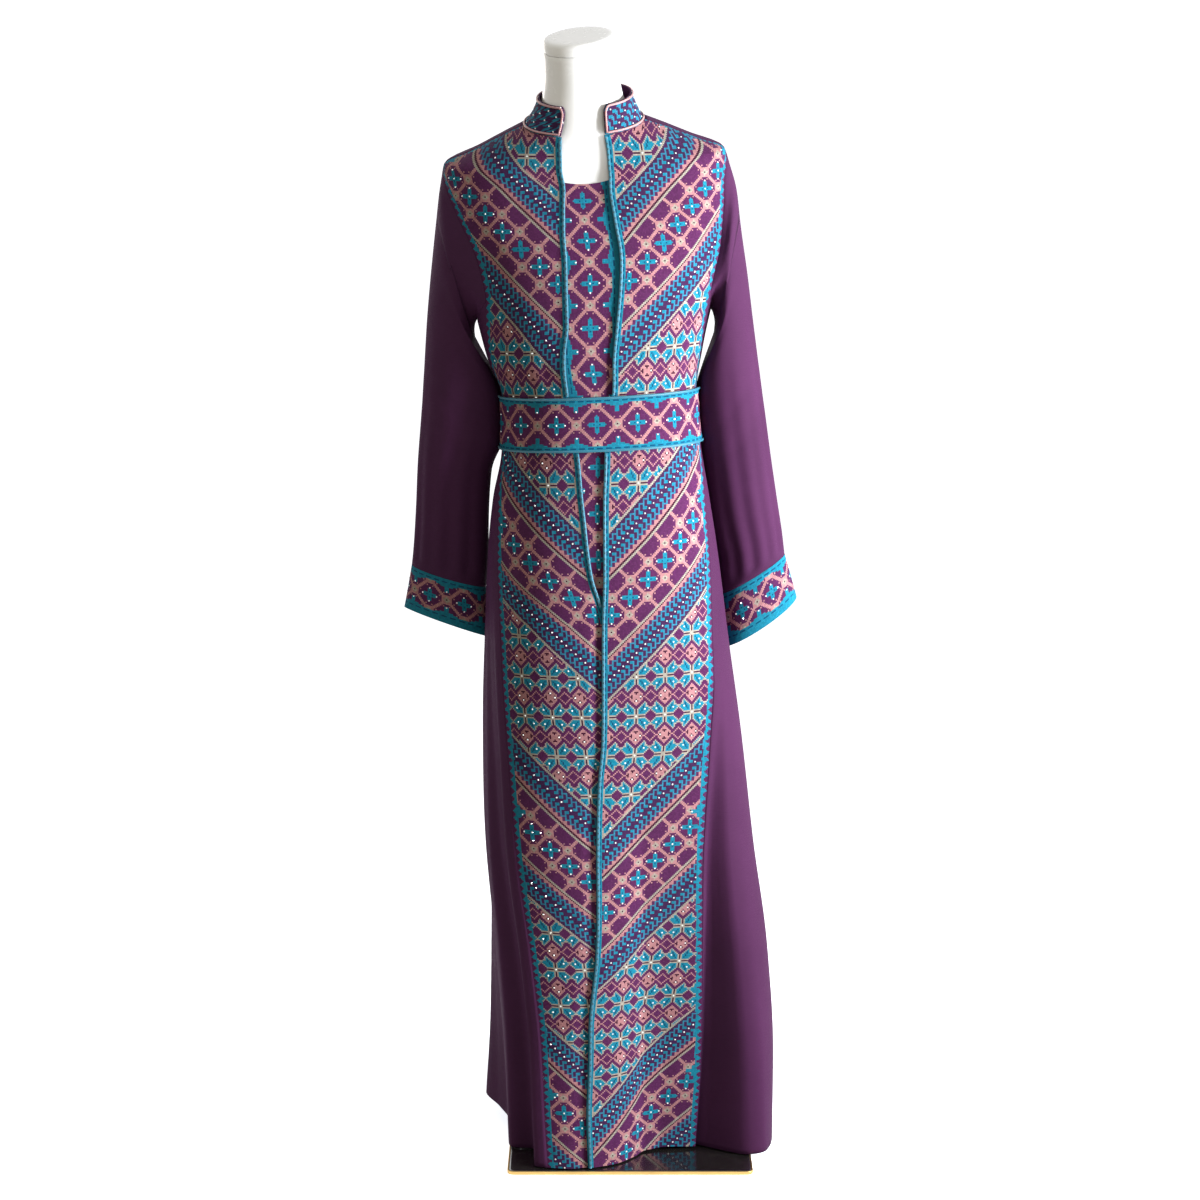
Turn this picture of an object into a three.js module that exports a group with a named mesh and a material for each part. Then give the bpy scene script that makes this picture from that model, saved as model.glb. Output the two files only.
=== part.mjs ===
// Long embroidered abaya with its belt, on a limbless dress form with a flat base.
// Millimetres, +Z up, front toward -Y, origin under the middle of the base plate.
// Angles run round the body: 0 at the front, +90 at +X, -90 at -X, 180 at the back.
import * as THREE from 'three';

const WALL = 1.6;             // cloth of a panel
const SEAM = 0.3;             // clearance between neighbouring pieces
const HEM_Z = 7;              // lowest ring of the skirt
const TIP_Z = 1423;           // shoulder tip
const NECK_Z = 1470;          // neckline ring
const UNDERARM_Z = 1235;      // where the armhole meets the side gore
const UNDERARM_DIP = 34;      // scoop of the gore's top edge
const BELT_Z = [1024, 1100];
const BELT_LIFT = [1.3, 3.3];
const TRIM_LIFT = [0.5, 2.4]; // cords and pipings on a panel
const CORD = 4.4;             // width of the teal front cords
const INSET_LIFT = [-4.2, -2.6];
const INSET_TOP_Z = 1407;
const INSET_SCOOP = 6;         // how far its neckline dips in the middle
const INSET_LOW_LIFT = 3.4;   // how much deeper the inset hangs behind the lapped fronts
const LAP_TUCK = 2.7;         // how far the under front is tucked back
const COLLAR_H = 36;
const COLLAR_WALL = 2.0;
const PLATE = { x: 350, y: 340, z: 5, corner: 10, edge: 2.5 };
const POLE_R = 14;
const FORM_FOOT_Z = 700;      // underside of the torso form
const FORM_GAP = 1.5;         // cloth to form at the shoulders

const COLORS = {
  purple: 0x6b3a6b, embroidered: 0x5f6f8a, teal: 0x2f9fb5, pink: 0xd59a9c,
  form: 0xe6e2dc, plate: 0x1c1a19, brass: 0xb08a45,
};

// The garment by ring height. Reaches are from the pole's foot.
const BODY = [
  // z, left, right, front, back, squareness, lean in x, lean in y
  [7, -217, 209, -166, 168, 2.8, 0, 0],
  [150, -214, 211, -158, 158, 2.7, 0, 0],
  [300, -216, 202, -151, 150, 2.6, 0, 0],
  [450, -220, 180, -143, 143, 2.5, 0.01, 0],
  [610, -215, 160, -135, 136, 2.4, 0.015, 0],
  [740, -209, 141, -130, 130, 2.3, 0.02, 0],
  [870, -203, 124, -124, 124, 2.25, 0.025, 0],
  [950, -195, 111, -116, 116, 2.2, 0.03, 0],
  [1020, -182, 99, -106, 103, 2.2, 0.04, 0],
  [1060, -180.5, 94.5, -103, 98, 2.2, 0.045, 0],
  [1100, -181.5, 93, -106, 98, 2.2, 0.045, 0],
  [1150, -200, 100, -115, 100, 2.2, 0.045, 0],
  [1200, -213, 110, -122, 103, 2.2, 0.045, 0],
  [1250, -226, 123, -125, 105, 2.2, 0.045, 0.02],
  [1300, -241, 134, -121, 104, 2.2, 0.045, 0.06],
  [1350, -256, 137, -110, 98, 2.2, 0.045, 0.12],
  [1390, -260, 134, -98, 90, 2.15, 0.05, 0.2],
  [1423, -259, 129, -88, 80, 2.1, 0.058, 0.27],
  [1440, -219, 89, -81, 71, 2.1, 0.058, 0.31],
  [1456, -182, 52, -74, 64, 2.1, 0.055, 0.335],
  [1470, -148, 17, -67, 57, 2.1, 0.05, 0.35],
];

// Folds of the skirt at the hem: reach from the ring's middle, where each fold starts, raise of the hem.
const FOLDS = [
  // angle, reach, start z, hem raise
  [-180, 181, 930, 10], [-166, 168, 900, 12], [-152, 196, 940, 15], [-140, 206, 930, 19],
  [-129, 190, 900, 23], [-117, 227, 950, 26], [-106, 220, 950, 25], [-95, 190, 660, 20],
  [-84, 174, 640, 12], [-72, 182, 720, 4], [-63, 190, 900, 0], [-55, 166, 900, 0],
  [-47, 168, 880, 0], [-40, 204, 860, 0], [-35, 197, 860, 0], [-27, 186, 830, 0],
  [-19, 173, 800, 0], [-12, 160, 780, 0], [-5, 146.5, 780, 0], [5, 123.5, 775, 0],
  [14, 107, 770, 1], [24, 106, 770, 2], [36, 117, 770, 3], [45, 130, 720, 2],
  [48, 134, 700, 1], [51, 125, 680, 0], [56, 207, 700, 0], [63, 226, 760, 0],
  [75, 221, 860, 0], [88, 206, 850, 3], [99, 206, 950, 6], [111, 226, 950, 8],
  [121, 205, 900, 8], [132, 192, 900, 9], [145, 213, 940, 9], [158, 190, 900, 9],
  [170, 164, 880, 9], [180, 181, 930, 10],
];

// Panel edges by height: the wearer's right is at -X.
const EDGES = [
  // z, right outer, right centre, left centre, left outer, right back, left back
  [7, -35, -13, -19, 48, -126, 124],
  [105, -38.5, -15.3, -21, 47.5, -125, 123],
  [207, -41.3, -14.5, -20.6, 46.7, -124, 122],
  [311, -44.8, -10, -16.1, 47, -123, 121],
  [398, -48, -6.5, -12.8, 48.8, -122, 120],
  [569, -54, -2, -8.4, 54, -120, 119],
  [618, -56, 1, -5.8, 56, -119, 118],
  [700, -59.5, 3, -3.8, 60.5, -118, 117],
  [789, -63, 1, -2, 64.5, -117, 116],
  [855, -66, -6.3, 0, 68, -116, 115],
  [940, -71, -10.5, 1.3, 73, -115, 114],
  [1023, -81, -16.4, 2.6, 82, -114, 113],
  [1108, -83, -22.7, 10.2, 83, -113, 112],
  [1160, -76, -20, 13.2, 79.5, -112, 111],
  [1203, -70.5, -16.8, 15.2, 75.5, -111, 110],
  [1246, -66, -17, 16.5, 74.5, -112, 110],
  [1307, -68, -16.9, 18.1, 76, -109, 106],
  [1361, -75, -16.2, 18.6, 79, -103, 101],
  [1395, -82, -15.9, 19.4, 83, -97, 96],
  [1423, -90, -19, 21.8, 90, -90, 90],
  [1470, -90, -26.6, 25.6, 90, -90, 90],
];
const EDGE = { outerR: 1, centreR: 2, centreL: 3, outerL: 4, backR: 5, backL: 6 };

// Sleeves by section: outer and inner edge seen from the front, depth of the middle, half depth.
// A cuff's last column is how far the front of its rim drops below the back.
const SLEEVE_R = [
  // share, outer x, outer z, inner x, inner z, middle y, half depth
  [0.08, -266, 1373, -219, 1184, 2, 60], [0.18, -273, 1316, -217, 1157, 4, 58],
  [0.28, -280, 1256, -205, 1128, 6, 55], [0.37, -286, 1196, -195, 1098, 9, 52],
  [0.46, -291, 1130, -191, 1064, 13, 49], [0.55, -296, 1068, -190, 1029, 17, 47],
  [0.66, -303, 992, -203, 984, 24, 45], [0.76, -307, 930, -202, 922, 33, 43],
  [0.88, -312, 872, -204, 856, 44, 40], [1, -315.5, 843, -208, 811, 51, 38],
];
const SLEEVE_L = [
  [0.08, 146, 1380, 118, 1190, 2, 60], [0.18, 154, 1320, 115, 1163, 4, 58],
  [0.28, 163, 1262, 107, 1134, 6, 55], [0.37, 171, 1203, 103, 1104, 9, 52],
  [0.46, 180, 1140, 102, 1068, 13, 49], [0.55, 190, 1073, 106, 1028, 17, 47],
  [0.66, 201, 1000, 112, 972, 24, 45], [0.76, 211, 940, 122, 904, 34, 43],
  [0.88, 220, 888, 127, 846, 45, 40], [1, 224, 858, 131, 800, 51, 38],
];
const CUFF_R = [
  [0, -315.6, 842.7, -208.1, 810.7, 51, 38, 0], [0.6, -323, 803, -203, 765, 56, 38, -4],
  [1, -328, 779, -202, 734, 59, 37, -8],
];
const CUFF_L = [
  [0, 224.2, 857.7, 131.2, 799.7, 51, 38, 0], [0.6, 236, 819, 134, 752, 56, 38, 6],
  [1, 243, 794, 136, 722, 59, 37, 12],
];

// Collar band: reaches of its foot and its top.
const COLLAR = [
  // share, left, right, front, back, lean in x, lean in y
  [0, -148, 17, -67, 57, 0.05, 0.35],
  [0.5, -135.5, 7.5, -63, 51, 0.055, 0.35],
  [1, -128, 0.5, -60.5, 46, 0.06, 0.35],
];

// The dress form: how far it stays inside the garment, then its neck.
const FORM_INSET = [
  // z, sides, front, back
  [700, 20, 17, 16], [800, 15, 14, 14], [950, 9, 9, 9], [1060, 6.5, 7.5, 6.5],
  [1150, 8, 9, 8], [1200, 13, 9, 8], [1300, 26, 8, 7], [1350, 24, 7, 6], [1390, 11, 5, 5],
];
const NECK = [
  // z, left, right, front, back, lean in x, lean in y
  [1472, -138, 7, -60, 50, 0.055, 0.35], [1482, -129, -2, -57, 42, 0.06, 0.35],
  [1494, -124.5, -8.5, -57, 38, 0.07, 0.345], [1512, -122, -14, -58, 35.5, 0.08, 0.34],
  [1536, -120, -18, -61, 32, 0.09, 0.335], [1568, -121, -22, -64, 29, 0.095, 0.33],
];
const NECK_TOP = 1568;
const CAP_PROFILE = [
  // height above the neck, share of the reach
  [0.3, 0.965], [1.6, 1.0], [11, 1.01], [14.5, 0.975], [16.3, 0.9], [16.8, 0.78],
];

const ROWS_SKIRT = [HEM_Z, 60, 120, 190, 260, 340, 420, 500, 580, 660, 740, 800, 870, 940,
  985, 1020, 1060, 1100, 1125, 1165, 1200, UNDERARM_Z];
const ROWS_BODICE = [1270, 1310, 1350, 1385, 1408, TIP_Z, 1438, 1455, NECK_Z];
const ROWS_FULL = [...ROWS_SKIRT, ...ROWS_BODICE];

// Columns of each panel as shares of its width, closest at its folds and at the shoulder.
const COLS = {
  front_right: [0, 0.06, 0.13, 0.22, 0.34, 0.46, 0.58, 0.7, 0.85, 1],
  front_left: [0, 0.1, 0.2, 0.36, 0.425, 0.49, 0.64, 0.75, 0.84, 0.9, 0.955, 1],
  back: [0, 0.035, 0.08, 0.135, 0.2, 0.31, 0.42, 0.51, 0.58, 0.64, 0.7, 0.76, 0.82, 0.87,
    0.92, 0.965, 1],
  side_right: [0, 0.055, 0.095, 0.132, 0.22, 0.308, 0.407, 0.538, 0.66, 0.78, 0.9, 1],
  side_left: [0, 0.04, 0.073, 0.105, 0.15, 0.2, 0.355, 0.526, 0.67, 0.83, 1],
  inset: [0, 0.2, 0.4, 0.6, 0.8, 1],
  cord: [0, 1],
};

const rad = THREE.MathUtils.degToRad;
const SEAM_DEG = (SEAM / 2 / 125) * (180 / Math.PI);
const clamp01 = (t) => Math.min(1, Math.max(0, t));
const smooth = (t) => clamp01(t) ** 2 * (3 - 2 * clamp01(t));
const mix = (a, b, t) => a + (b - a) * t;

// Monotone cubic through one column of a table whose first column is the key.
function slopeAt(table, k, col) {
  const before = table[k][0] - table[k - 1][0];
  const after = table[k + 1][0] - table[k][0];
  const a = (table[k][col] - table[k - 1][col]) / before;
  const b = (table[k + 1][col] - table[k][col]) / after;
  if (a * b <= 0) return 0;
  return 3 * (before + after) / ((2 * after + before) / a + (after + 2 * before) / b);
}

function column(table, key, col) {
  const last = table.length - 1;
  if (key <= table[0][0]) return table[0][col];
  if (key >= table[last][0]) return table[last][col];
  let i = 0;
  while (key > table[i + 1][0]) i += 1;
  const h = table[i + 1][0] - table[i][0];
  const t = (key - table[i][0]) / h;
  const y0 = table[i][col];
  const y1 = table[i + 1][col];
  const chord = (y1 - y0) / h;
  const m0 = i > 0 ? slopeAt(table, i, col) : chord;
  const m1 = i + 1 < last ? slopeAt(table, i + 1, col) : chord;
  const t2 = t * t;
  const t3 = t2 * t;
  return (2 * t3 - 3 * t2 + 1) * y0 + (t3 - 2 * t2 + t) * h * m0
    + (3 * t2 - 2 * t3) * y1 + (t3 - t2) * h * m1;
}

// Angles of a whole ring, closest round the shoulder ridges.
const QUARTER = [0, 15, 30, 44, 57, 68, 77, 84];
const RING = [-180, -90, 0, 90].flatMap((start, i) => (
  i % 2 ? [0, ...QUARTER.slice(1).reverse().map((a) => 90 - a)] : QUARTER).map((a) => start + a));

const edge = (z, name) => column(EDGES, z, EDGE[name]);

// Point of an oval ring at an angle, pushed out by extra and sheared by its lean.
function oval(z, deg, [left, right, front, back], power, leanX, leanY, extra = 0) {
  const s = Math.sin(rad(deg));
  const c = Math.cos(rad(deg));
  const w = (right - left) / 2;
  const d = (back - front) / 2;
  const r = (Math.abs(s / w) ** power + Math.abs(c / d) ** power) ** (-1 / power) + extra;
  const x = r * s;
  const y = -r * c;
  return new THREE.Vector3((left + right) / 2 + x, (front + back) / 2 + y,
    z + leanX * x + leanY * y);
}

const bodyRow = (z) => [1, 2, 3, 4, 5, 6, 7].map((col) => column(BODY, z, col));
const HEM_ROW = bodyRow(HEM_Z);

function hemReach(deg) {
  const p = oval(0, deg, HEM_ROW, HEM_ROW[4], 0, 0);
  return Math.hypot(p.x - (HEM_ROW[0] + HEM_ROW[1]) / 2, p.y - (HEM_ROW[2] + HEM_ROW[3]) / 2);
}

// Angle that a place on a ring has at the hem, so folds follow the panel edges down.
function hemAngle(z, deg) {
  const here = [-180, edge(z, 'outerR'), edge(z, 'centreL'), edge(z, 'outerL'), 180];
  const low = [-180, ...['outerR', 'centreL', 'outerL'].map((n) => edge(HEM_Z, n)), 180];
  let i = 0;
  while (i < 3 && deg > here[i + 1]) i += 1;
  return mix(low[i], low[i + 1], (deg - here[i]) / (here[i + 1] - here[i]));
}

// Outer surface of the garment without thickness.
function skin(z, deg, folded = true) {
  const wrapped = deg > 180 ? deg - 360 : deg;
  const row = bodyRow(z);
  let extra = 0;
  let raise = 0;
  if (folded && z < 960) {
    const low = hemAngle(z, wrapped);
    const start = column(FOLDS, low, 2);
    const grown = clamp01((start - z) / (start - HEM_Z)) ** 1.2;
    extra = (column(FOLDS, low, 1) - hemReach(low)) * grown;
    raise = column(FOLDS, low, 3) * clamp01(1 - z / 300) ** 2;
  }
  return oval(z + raise, deg, row, row[4], row[5], row[6], extra);
}

function normalOf(surface, u, v, du, dv) {
  const along = surface(u + du, v).sub(surface(u - du, v));
  const up = surface(u, v + dv).sub(surface(u, v - dv));
  return along.cross(up).normalize();
}

// Garment surface moved out by lift along its normal.
function body(z, deg, lift = 0, folded = true) {
  const surface = (a, h) => skin(h, a, folded);
  const inside = Math.min(Math.max(z, HEM_Z + 1), NECK_Z - 1);
  return skin(z, deg, folded).addScaledVector(normalOf(surface, deg, inside, 1.5, 1), lift);
}

// ---- closed walls from two grids of points -------------------------------------------------

function meshOf(name, color, vertices, faces) {
  const geometry = new THREE.BufferGeometry();
  geometry.setAttribute('position', new THREE.Float32BufferAttribute(
    vertices.flatMap((p) => [p.x, p.y, p.z]), 3));
  geometry.setIndex(faces.flat());
  geometry.computeVertexNormals();
  const mesh = new THREE.Mesh(geometry, new THREE.MeshStandardMaterial({ color, name }));
  mesh.name = name;
  return mesh;
}

// outer[row][col] and inner[row][col]; columns run counter-clockwise seen from outside the wall.
function wall(name, color, outer, inner, ring = false) {
  const rows = outer.length;
  const cols = outer[0].length;
  const vertices = [...outer.flat(), ...inner.flat()];
  const faces = [];
  const at = (side, i, j) => side * rows * cols + i * cols + (j % cols);
  const quad = (a, b, c, d) => faces.push([a, b, c], [a, c, d]);
  const spans = ring ? cols : cols - 1;
  for (let i = 0; i < rows - 1; i += 1) {
    for (let j = 0; j < spans; j += 1) {
      quad(at(0, i, j), at(0, i, j + 1), at(0, i + 1, j + 1), at(0, i + 1, j));
      quad(at(1, i, j), at(1, i + 1, j), at(1, i + 1, j + 1), at(1, i, j + 1));
    }
  }
  for (let j = 0; j < spans; j += 1) {
    quad(at(1, 0, j), at(1, 0, j + 1), at(0, 0, j + 1), at(0, 0, j));
    quad(at(0, rows - 1, j), at(0, rows - 1, j + 1), at(1, rows - 1, j + 1), at(1, rows - 1, j));
  }
  if (!ring) {
    for (let i = 0; i < rows - 1; i += 1) {
      quad(at(1, i, 0), at(0, i, 0), at(0, i + 1, 0), at(1, i + 1, 0));
      const e = cols - 1;
      quad(at(0, i, e), at(1, i, e), at(1, i + 1, e), at(0, i + 1, e));
    }
  }
  return meshOf(name, color, vertices, faces);
}

// Stack of rings closed at both ends by fans round their middles.
function solid(name, color, rings) {
  const cols = rings[0].length;
  const vertices = rings.flat();
  const faces = [];
  for (let i = 0; i < rings.length - 1; i += 1) {
    for (let j = 0; j < cols; j += 1) {
      const a = i * cols + j;
      const b = i * cols + ((j + 1) % cols);
      faces.push([a, b, b + cols], [a, b + cols, a + cols]);
    }
  }
  const middle = (ring) => ring.reduce((sum, p) => sum.add(p), new THREE.Vector3())
    .divideScalar(cols);
  const low = vertices.push(middle(rings[0])) - 1;
  const high = vertices.push(middle(rings[rings.length - 1])) - 1;
  const top = (rings.length - 1) * cols;
  for (let j = 0; j < cols; j += 1) {
    faces.push([low, (j + 1) % cols, j], [high, top + j, top + ((j + 1) % cols)]);
  }
  return meshOf(name, color, vertices, faces);
}

const shares = (count) => Array.from({ length: count + 1 }, (_, i) => i / count);

// Panel of the garment between two edge angles over a list of heights.
function panel(name, color, heights, cols, from, to, lift = [-WALL, 0]) {
  const grid = (side) => heights.map((z) => cols.map((a) => {
    const deg = mix(from(z) + SEAM_DEG, to(z) - SEAM_DEG, a);
    const depth = typeof lift === 'function' ? lift(z, deg) : lift;
    return body(z, deg, depth[side]);
  }));
  return wall(name, color, grid(1), grid(0));
}

// ---- garment ------------------------------------------------------------------------------

// The wearer's right front goes under the left one below where they meet.
function underLift(z, deg) {
  const near = smooth((deg - edge(z, 'centreL') + 8) / 6.5);
  const tuck = LAP_TUCK * near * smooth((865 - z) / 60);
  return [-WALL - tuck, -tuck];
}

function fronts() {
  const right = panel('front_right', COLORS.embroidered, ROWS_FULL, COLS.front_right,
    (z) => edge(z, 'outerR'), (z) => edge(z, 'centreR'), underLift);
  const left = panel('front_left', COLORS.embroidered, ROWS_FULL, COLS.front_left,
    (z) => edge(z, 'centreL'), (z) => edge(z, 'outerL'));
  return [right, left];
}

function insetFront() {
  const heights = [700, 760, 820, 880, 950, 1010, 1060, 1110, 1170, 1230, 1300, 1360,
    INSET_TOP_Z];
  const lift = (z) => INSET_LIFT.map((d) => d - INSET_LOW_LIFT * smooth((890 - z) / 70));
  const from = (z) => Math.min(edge(z, 'centreR'), edge(z, 'centreL') - 3) - 5;
  const to = (z) => Math.max(edge(z, 'centreL'), edge(z, 'centreR')) + 5;
  const scoop = (z, a) => (z < INSET_TOP_Z ? 0 : INSET_SCOOP * (2 * a - 1) ** 2);
  const grid = (side) => heights.map((z) => COLS.inset.map((a) => (
    body(z + scoop(z, a), mix(from(z), to(z), a), lift(z)[side]))));
  return wall('inner_front', COLORS.embroidered, grid(1), grid(0));
}

function back() {
  return panel('back', COLORS.purple, ROWS_FULL, COLS.back,
    (z) => edge(z, 'backL'), (z) => 360 + edge(z, 'backR'));
}

const dip = (a) => UNDERARM_DIP * Math.sin(Math.PI * a) ** 0.8;

function goreHeight(z, a) {
  const fixed = 1120;
  if (z <= fixed) return z;
  return fixed + (z - fixed) * (1 - dip(a) / (UNDERARM_Z - fixed));
}

// Side gore from the front panel's edge to the back, scooped under the arm.
function gore(name, front, rear) {
  const sign = Math.sign(rear(0) - front(0));
  const gap = SEAM_DEG * sign;
  const cols = sign > 0 ? COLS[name] : [...COLS[name]].reverse();
  const grid = (lift) => ROWS_SKIRT.map((z) => cols.map((a) => {
    const h = goreHeight(z, a);
    return body(h, mix(front(h) + gap, rear(h) - gap, a), lift);
  }));
  return wall(name, COLORS.purple, grid(0), grid(-WALL));
}

// Armhole as a closed list of [z, angle] from the shoulder tip down the front and up the back.
function armhole(front, rear, cols) {
  const sign = Math.sign(rear(UNDERARM_Z) - front(UNDERARM_Z));
  const gap = (SEAM / 120) * (180 / Math.PI) * sign;
  const sides = ROWS_BODICE.filter((z) => z < TIP_Z).reverse();
  const down = sides.map((z) => [z, front(z) + gap]);
  const scoop = cols.map((a) => {
    const h = UNDERARM_Z - dip(a);
    return [h + SEAM, mix(front(h) + gap, rear(h) - gap, a)];
  });
  const up = [...sides].reverse().map((z) => [z, rear(z) - gap]);
  return [[TIP_Z - 0.7, 90 * Math.sign(front(TIP_Z))], ...down, ...scoop, ...up];
}

// Oval section of a sleeve; turn 0 is its outer edge, 90 its front.
function sleeveSection(table, share, turns, inset) {
  const [ox, oz, ix, iz, y, half] = [1, 2, 3, 4, 5, 6].map((c) => column(table, share, c));
  const drop = table[0].length > 7 ? column(table, share, 7) / 2 : 0;
  const reach = Math.hypot(ox - ix, oz - iz) / 2;
  const trim = (reach - inset) / reach;
  return turns.map((t) => {
    const k = Math.cos(rad(t)) * trim;
    const s = Math.sin(rad(t));
    return new THREE.Vector3((ox + ix) / 2 + k * (ox - ix) / 2, y - s * (half - inset),
      (oz + iz) / 2 + k * (oz - iz) / 2 - s * drop);
  });
}

// Ring between the armhole and the first section, arched over the seam under the arm.
function sleeveHead(root, section, turns, share, arch) {
  return root.map((p, j) => {
    const under = clamp01((-Math.cos(rad(turns[j])) - 0.1) / 0.7);
    const over = Math.max(0, Math.cos(rad(turns[j])));
    return p.clone().lerp(section[j], share).add(new THREE.Vector3(0, 0, arch * under + 2 * over));
  });
}

// A ring's points moved inward along the normals of the three rings round it.
function inward(before, ring, after, depth) {
  const count = ring.length;
  const middle = ring.reduce((sum, p) => sum.add(p), new THREE.Vector3()).divideScalar(count);
  return ring.map((p, j) => {
    const along = ring[(j + 1) % count].clone().sub(ring[(j + count - 1) % count]);
    const normal = after[j].clone().sub(before[j]).cross(along).normalize();
    const out = Math.sign(normal.dot(p.clone().sub(middle)));
    return p.clone().addScaledVector(normal, -depth * out);
  });
}

// Sleeve from its armhole to the cuff.
function sleeve(name, table, front, rear, cols, side) {
  const hole = armhole(front, rear, cols);
  const turns = hole.map((_, i) => (360 * i) / hole.length);
  const sections = (lift) => [0.08, 0.15, 0.23, 0.32, 0.42, 0.52, 0.6, 0.7, 0.8, 0.9, 1]
    .map((s) => sleeveSection(table, s, turns, lift));
  const root = (lift) => hole.map(([z, deg]) => body(z, deg, -lift));
  const first = sections(0)[0];
  const low = sleeveHead(root(0), first, turns, 0.15, 5.5);
  const high = sleeveHead(root(0), first, turns, 0.42, 9.5);
  const outer = [root(0), low, high, ...sections(0)];
  const inner = [root(WALL), inward(root(0), low, high, WALL),
    inward(low, high, first, WALL), ...sections(WALL)];
  const facing = (rings) => (side > 0 ? rings : rings.map((ring) => [...ring].reverse()));
  return wall(name, COLORS.purple, facing(outer), facing(inner), true);
}

function cuff(name, table, side) {
  const turns = shares(20).slice(0, -1).map((s) => 360 * s);
  const grid = (lift) => [0, 0.35, 0.7, 1].map((s) => {
    const ring = sleeveSection(table, s, turns, lift);
    return side > 0 ? ring : ring.reverse();
  });
  return wall(name, COLORS.embroidered, grid(0), grid(2), true);
}

// ---- collar, belt and trims ---------------------------------------------------------------

const COLLAR_FROM = 27;
const COLLAR_TO = 331.5;

function collarPoint(share, a, lift) {
  const row = [1, 2, 3, 4].map((c) => column(COLLAR, share, c));
  const lean = [5, 6].map((c) => column(COLLAR, share, c));
  return oval(NECK_Z + SEAM + COLLAR_H * share, mix(COLLAR_FROM, COLLAR_TO, a), row, 2.1,
    lean[0], lean[1], lift);
}

function collar() {
  const grid = (lift) => [0, 0.33, 0.66, 1].map((s) => shares(26).map((a) => (
    collarPoint(s, a, lift))));
  return wall('collar', COLORS.embroidered, grid(0), grid(-COLLAR_WALL));
}

// Piping as a closed frame round the collar's outer face.
function collarPiping() {
  const width = { a: 0.0105, s: 0.09 };
  const loop = (inset) => {
    const lo = [inset * width.a, inset * width.s];
    const hi = [1 - lo[0], 1 - lo[1]];
    const along = shares(26).map((t) => mix(lo[0], hi[0], t));
    const up = [0.33, 0.66].map((t) => mix(lo[1], hi[1], t));
    return [...along.map((a) => [lo[1], a]), ...up.map((s) => [s, hi[0]]),
      ...along.reverse().map((a) => [hi[1], a]), ...up.reverse().map((s) => [s, lo[0]])];
  };
  const grid = (lift) => [0, 1].map((inset) => (
    loop(inset).map(([s, a]) => collarPoint(s, a, lift))));
  return wall('collar_piping', COLORS.pink, grid(TRIM_LIFT[1]), grid(TRIM_LIFT[0] + 0.1), true);
}

function beltBand(name, color, heights, lift) {
  const grid = (depth) => heights.map((z) => RING.map((deg) => body(z, deg, depth)));
  return wall(name, color, grid(lift[1]), grid(lift[0]), true);
}

function belts() {
  const cord = 3.2;
  const [low, high] = BELT_Z;
  const over = BELT_LIFT[1];
  const lift = [over + 0.45, over + 1.9];
  return [
    beltBand('belt', COLORS.embroidered, [low, 1060, high], BELT_LIFT),
    beltBand('belt_piping_top', COLORS.teal, [high - cord, high], lift),
    beltBand('belt_piping_bottom', COLORS.teal, [low, low + cord], lift),
  ];
}

// Cord along the centre edge of a front, broken by the belt.
function frontCord(name, edgeName, side, heights) {
  const angle = (mm) => (mm / 125) * (180 / Math.PI) * side;
  const near = (z) => edge(z, edgeName) + angle(0.4);
  const far = (z) => edge(z, edgeName) + angle(CORD);
  const lift = edgeName === 'centreR'
    ? (z, deg) => TRIM_LIFT.map((d) => d + underLift(z, deg)[1])
    : TRIM_LIFT;
  return side > 0
    ? panel(name, COLORS.teal, heights, COLS.cord, near, far, lift)
    : panel(name, COLORS.teal, heights, COLS.cord, far, near, lift);
}

function cords() {
  const above = [BELT_Z[1] + 1.5, ...ROWS_FULL.filter((z) => z > BELT_Z[1] && z < NECK_Z),
    NECK_Z - 3];
  const below = ROWS_FULL.filter((z) => z < BELT_Z[0]);
  const seen = below.filter((z) => z > 810);
  return [
    frontCord('front_cord_right_top', 'centreR', -1, above),
    frontCord('front_cord_left_top', 'centreL', 1, above),
    frontCord('front_cord_right_low', 'centreR', -1, seen),
    frontCord('front_cord_left_low', 'centreL', 1, below),
  ];
}

// ---- dress form ---------------------------------------------------------------------------

function formRing(z) {
  const row = bodyRow(z);
  const [side, front, rear] = [1, 2, 3].map((c) => column(FORM_INSET, z, c));
  const reach = [row[0] + side, row[1] - side, row[2] + front, row[3] - rear];
  return RING.map((deg) => oval(z, deg, reach, row[4], row[5], row[6]));
}

// Shoulders follow the garment, a little deeper in front where the inset lies.
function shoulderRing(z) {
  return RING.map((deg) => {
    const low = smooth((1434 - z) / 18);
    const relief = 3 * smooth((52 - Math.abs(deg)) / 20) * low
      + 2.6 * smooth((Math.abs(deg) - 84) / 9) * smooth((1450 - z) / 12);
    return body(z, deg, -WALL - FORM_GAP - relief, false);
  });
}

function neckRing(z, raise = 0, scale = 1) {
  const [left, right, front, rear] = [1, 2, 3, 4].map((c) => column(NECK, z, c));
  const lean = [5, 6].map((c) => column(NECK, z, c));
  const x = (left + right) / 2;
  const y = (front + rear) / 2;
  const sized = [mix(x, left, scale), mix(x, right, scale), mix(y, front, scale),
    mix(y, rear, scale)];
  return RING.map((deg) => oval(z + raise, deg, sized, 2, lean[0], lean[1]));
}

function dressForm() {
  const torso = [FORM_FOOT_Z, 712, 780, 860, 940, 1020, 1070, 1130, 1200, 1270, 1330,
    1385].map(formRing);
  torso[0] = torso[0].map((p, i) => p.clone().lerp(torso[1][i], -0.2).setZ(FORM_FOOT_Z));
  const shoulders = [1403, 1420, 1437, 1454, 1469].map(shoulderRing);
  const neck = [1472, 1482, 1494, 1520, NECK_TOP].map((z) => neckRing(z));
  const cap = CAP_PROFILE.map(([raise, share]) => neckRing(NECK_TOP, raise, share));
  return [
    solid('form_torso', COLORS.form, [...torso, ...shoulders, ...neck]),
    solid('form_cap', COLORS.form, cap),
  ];
}

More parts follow.
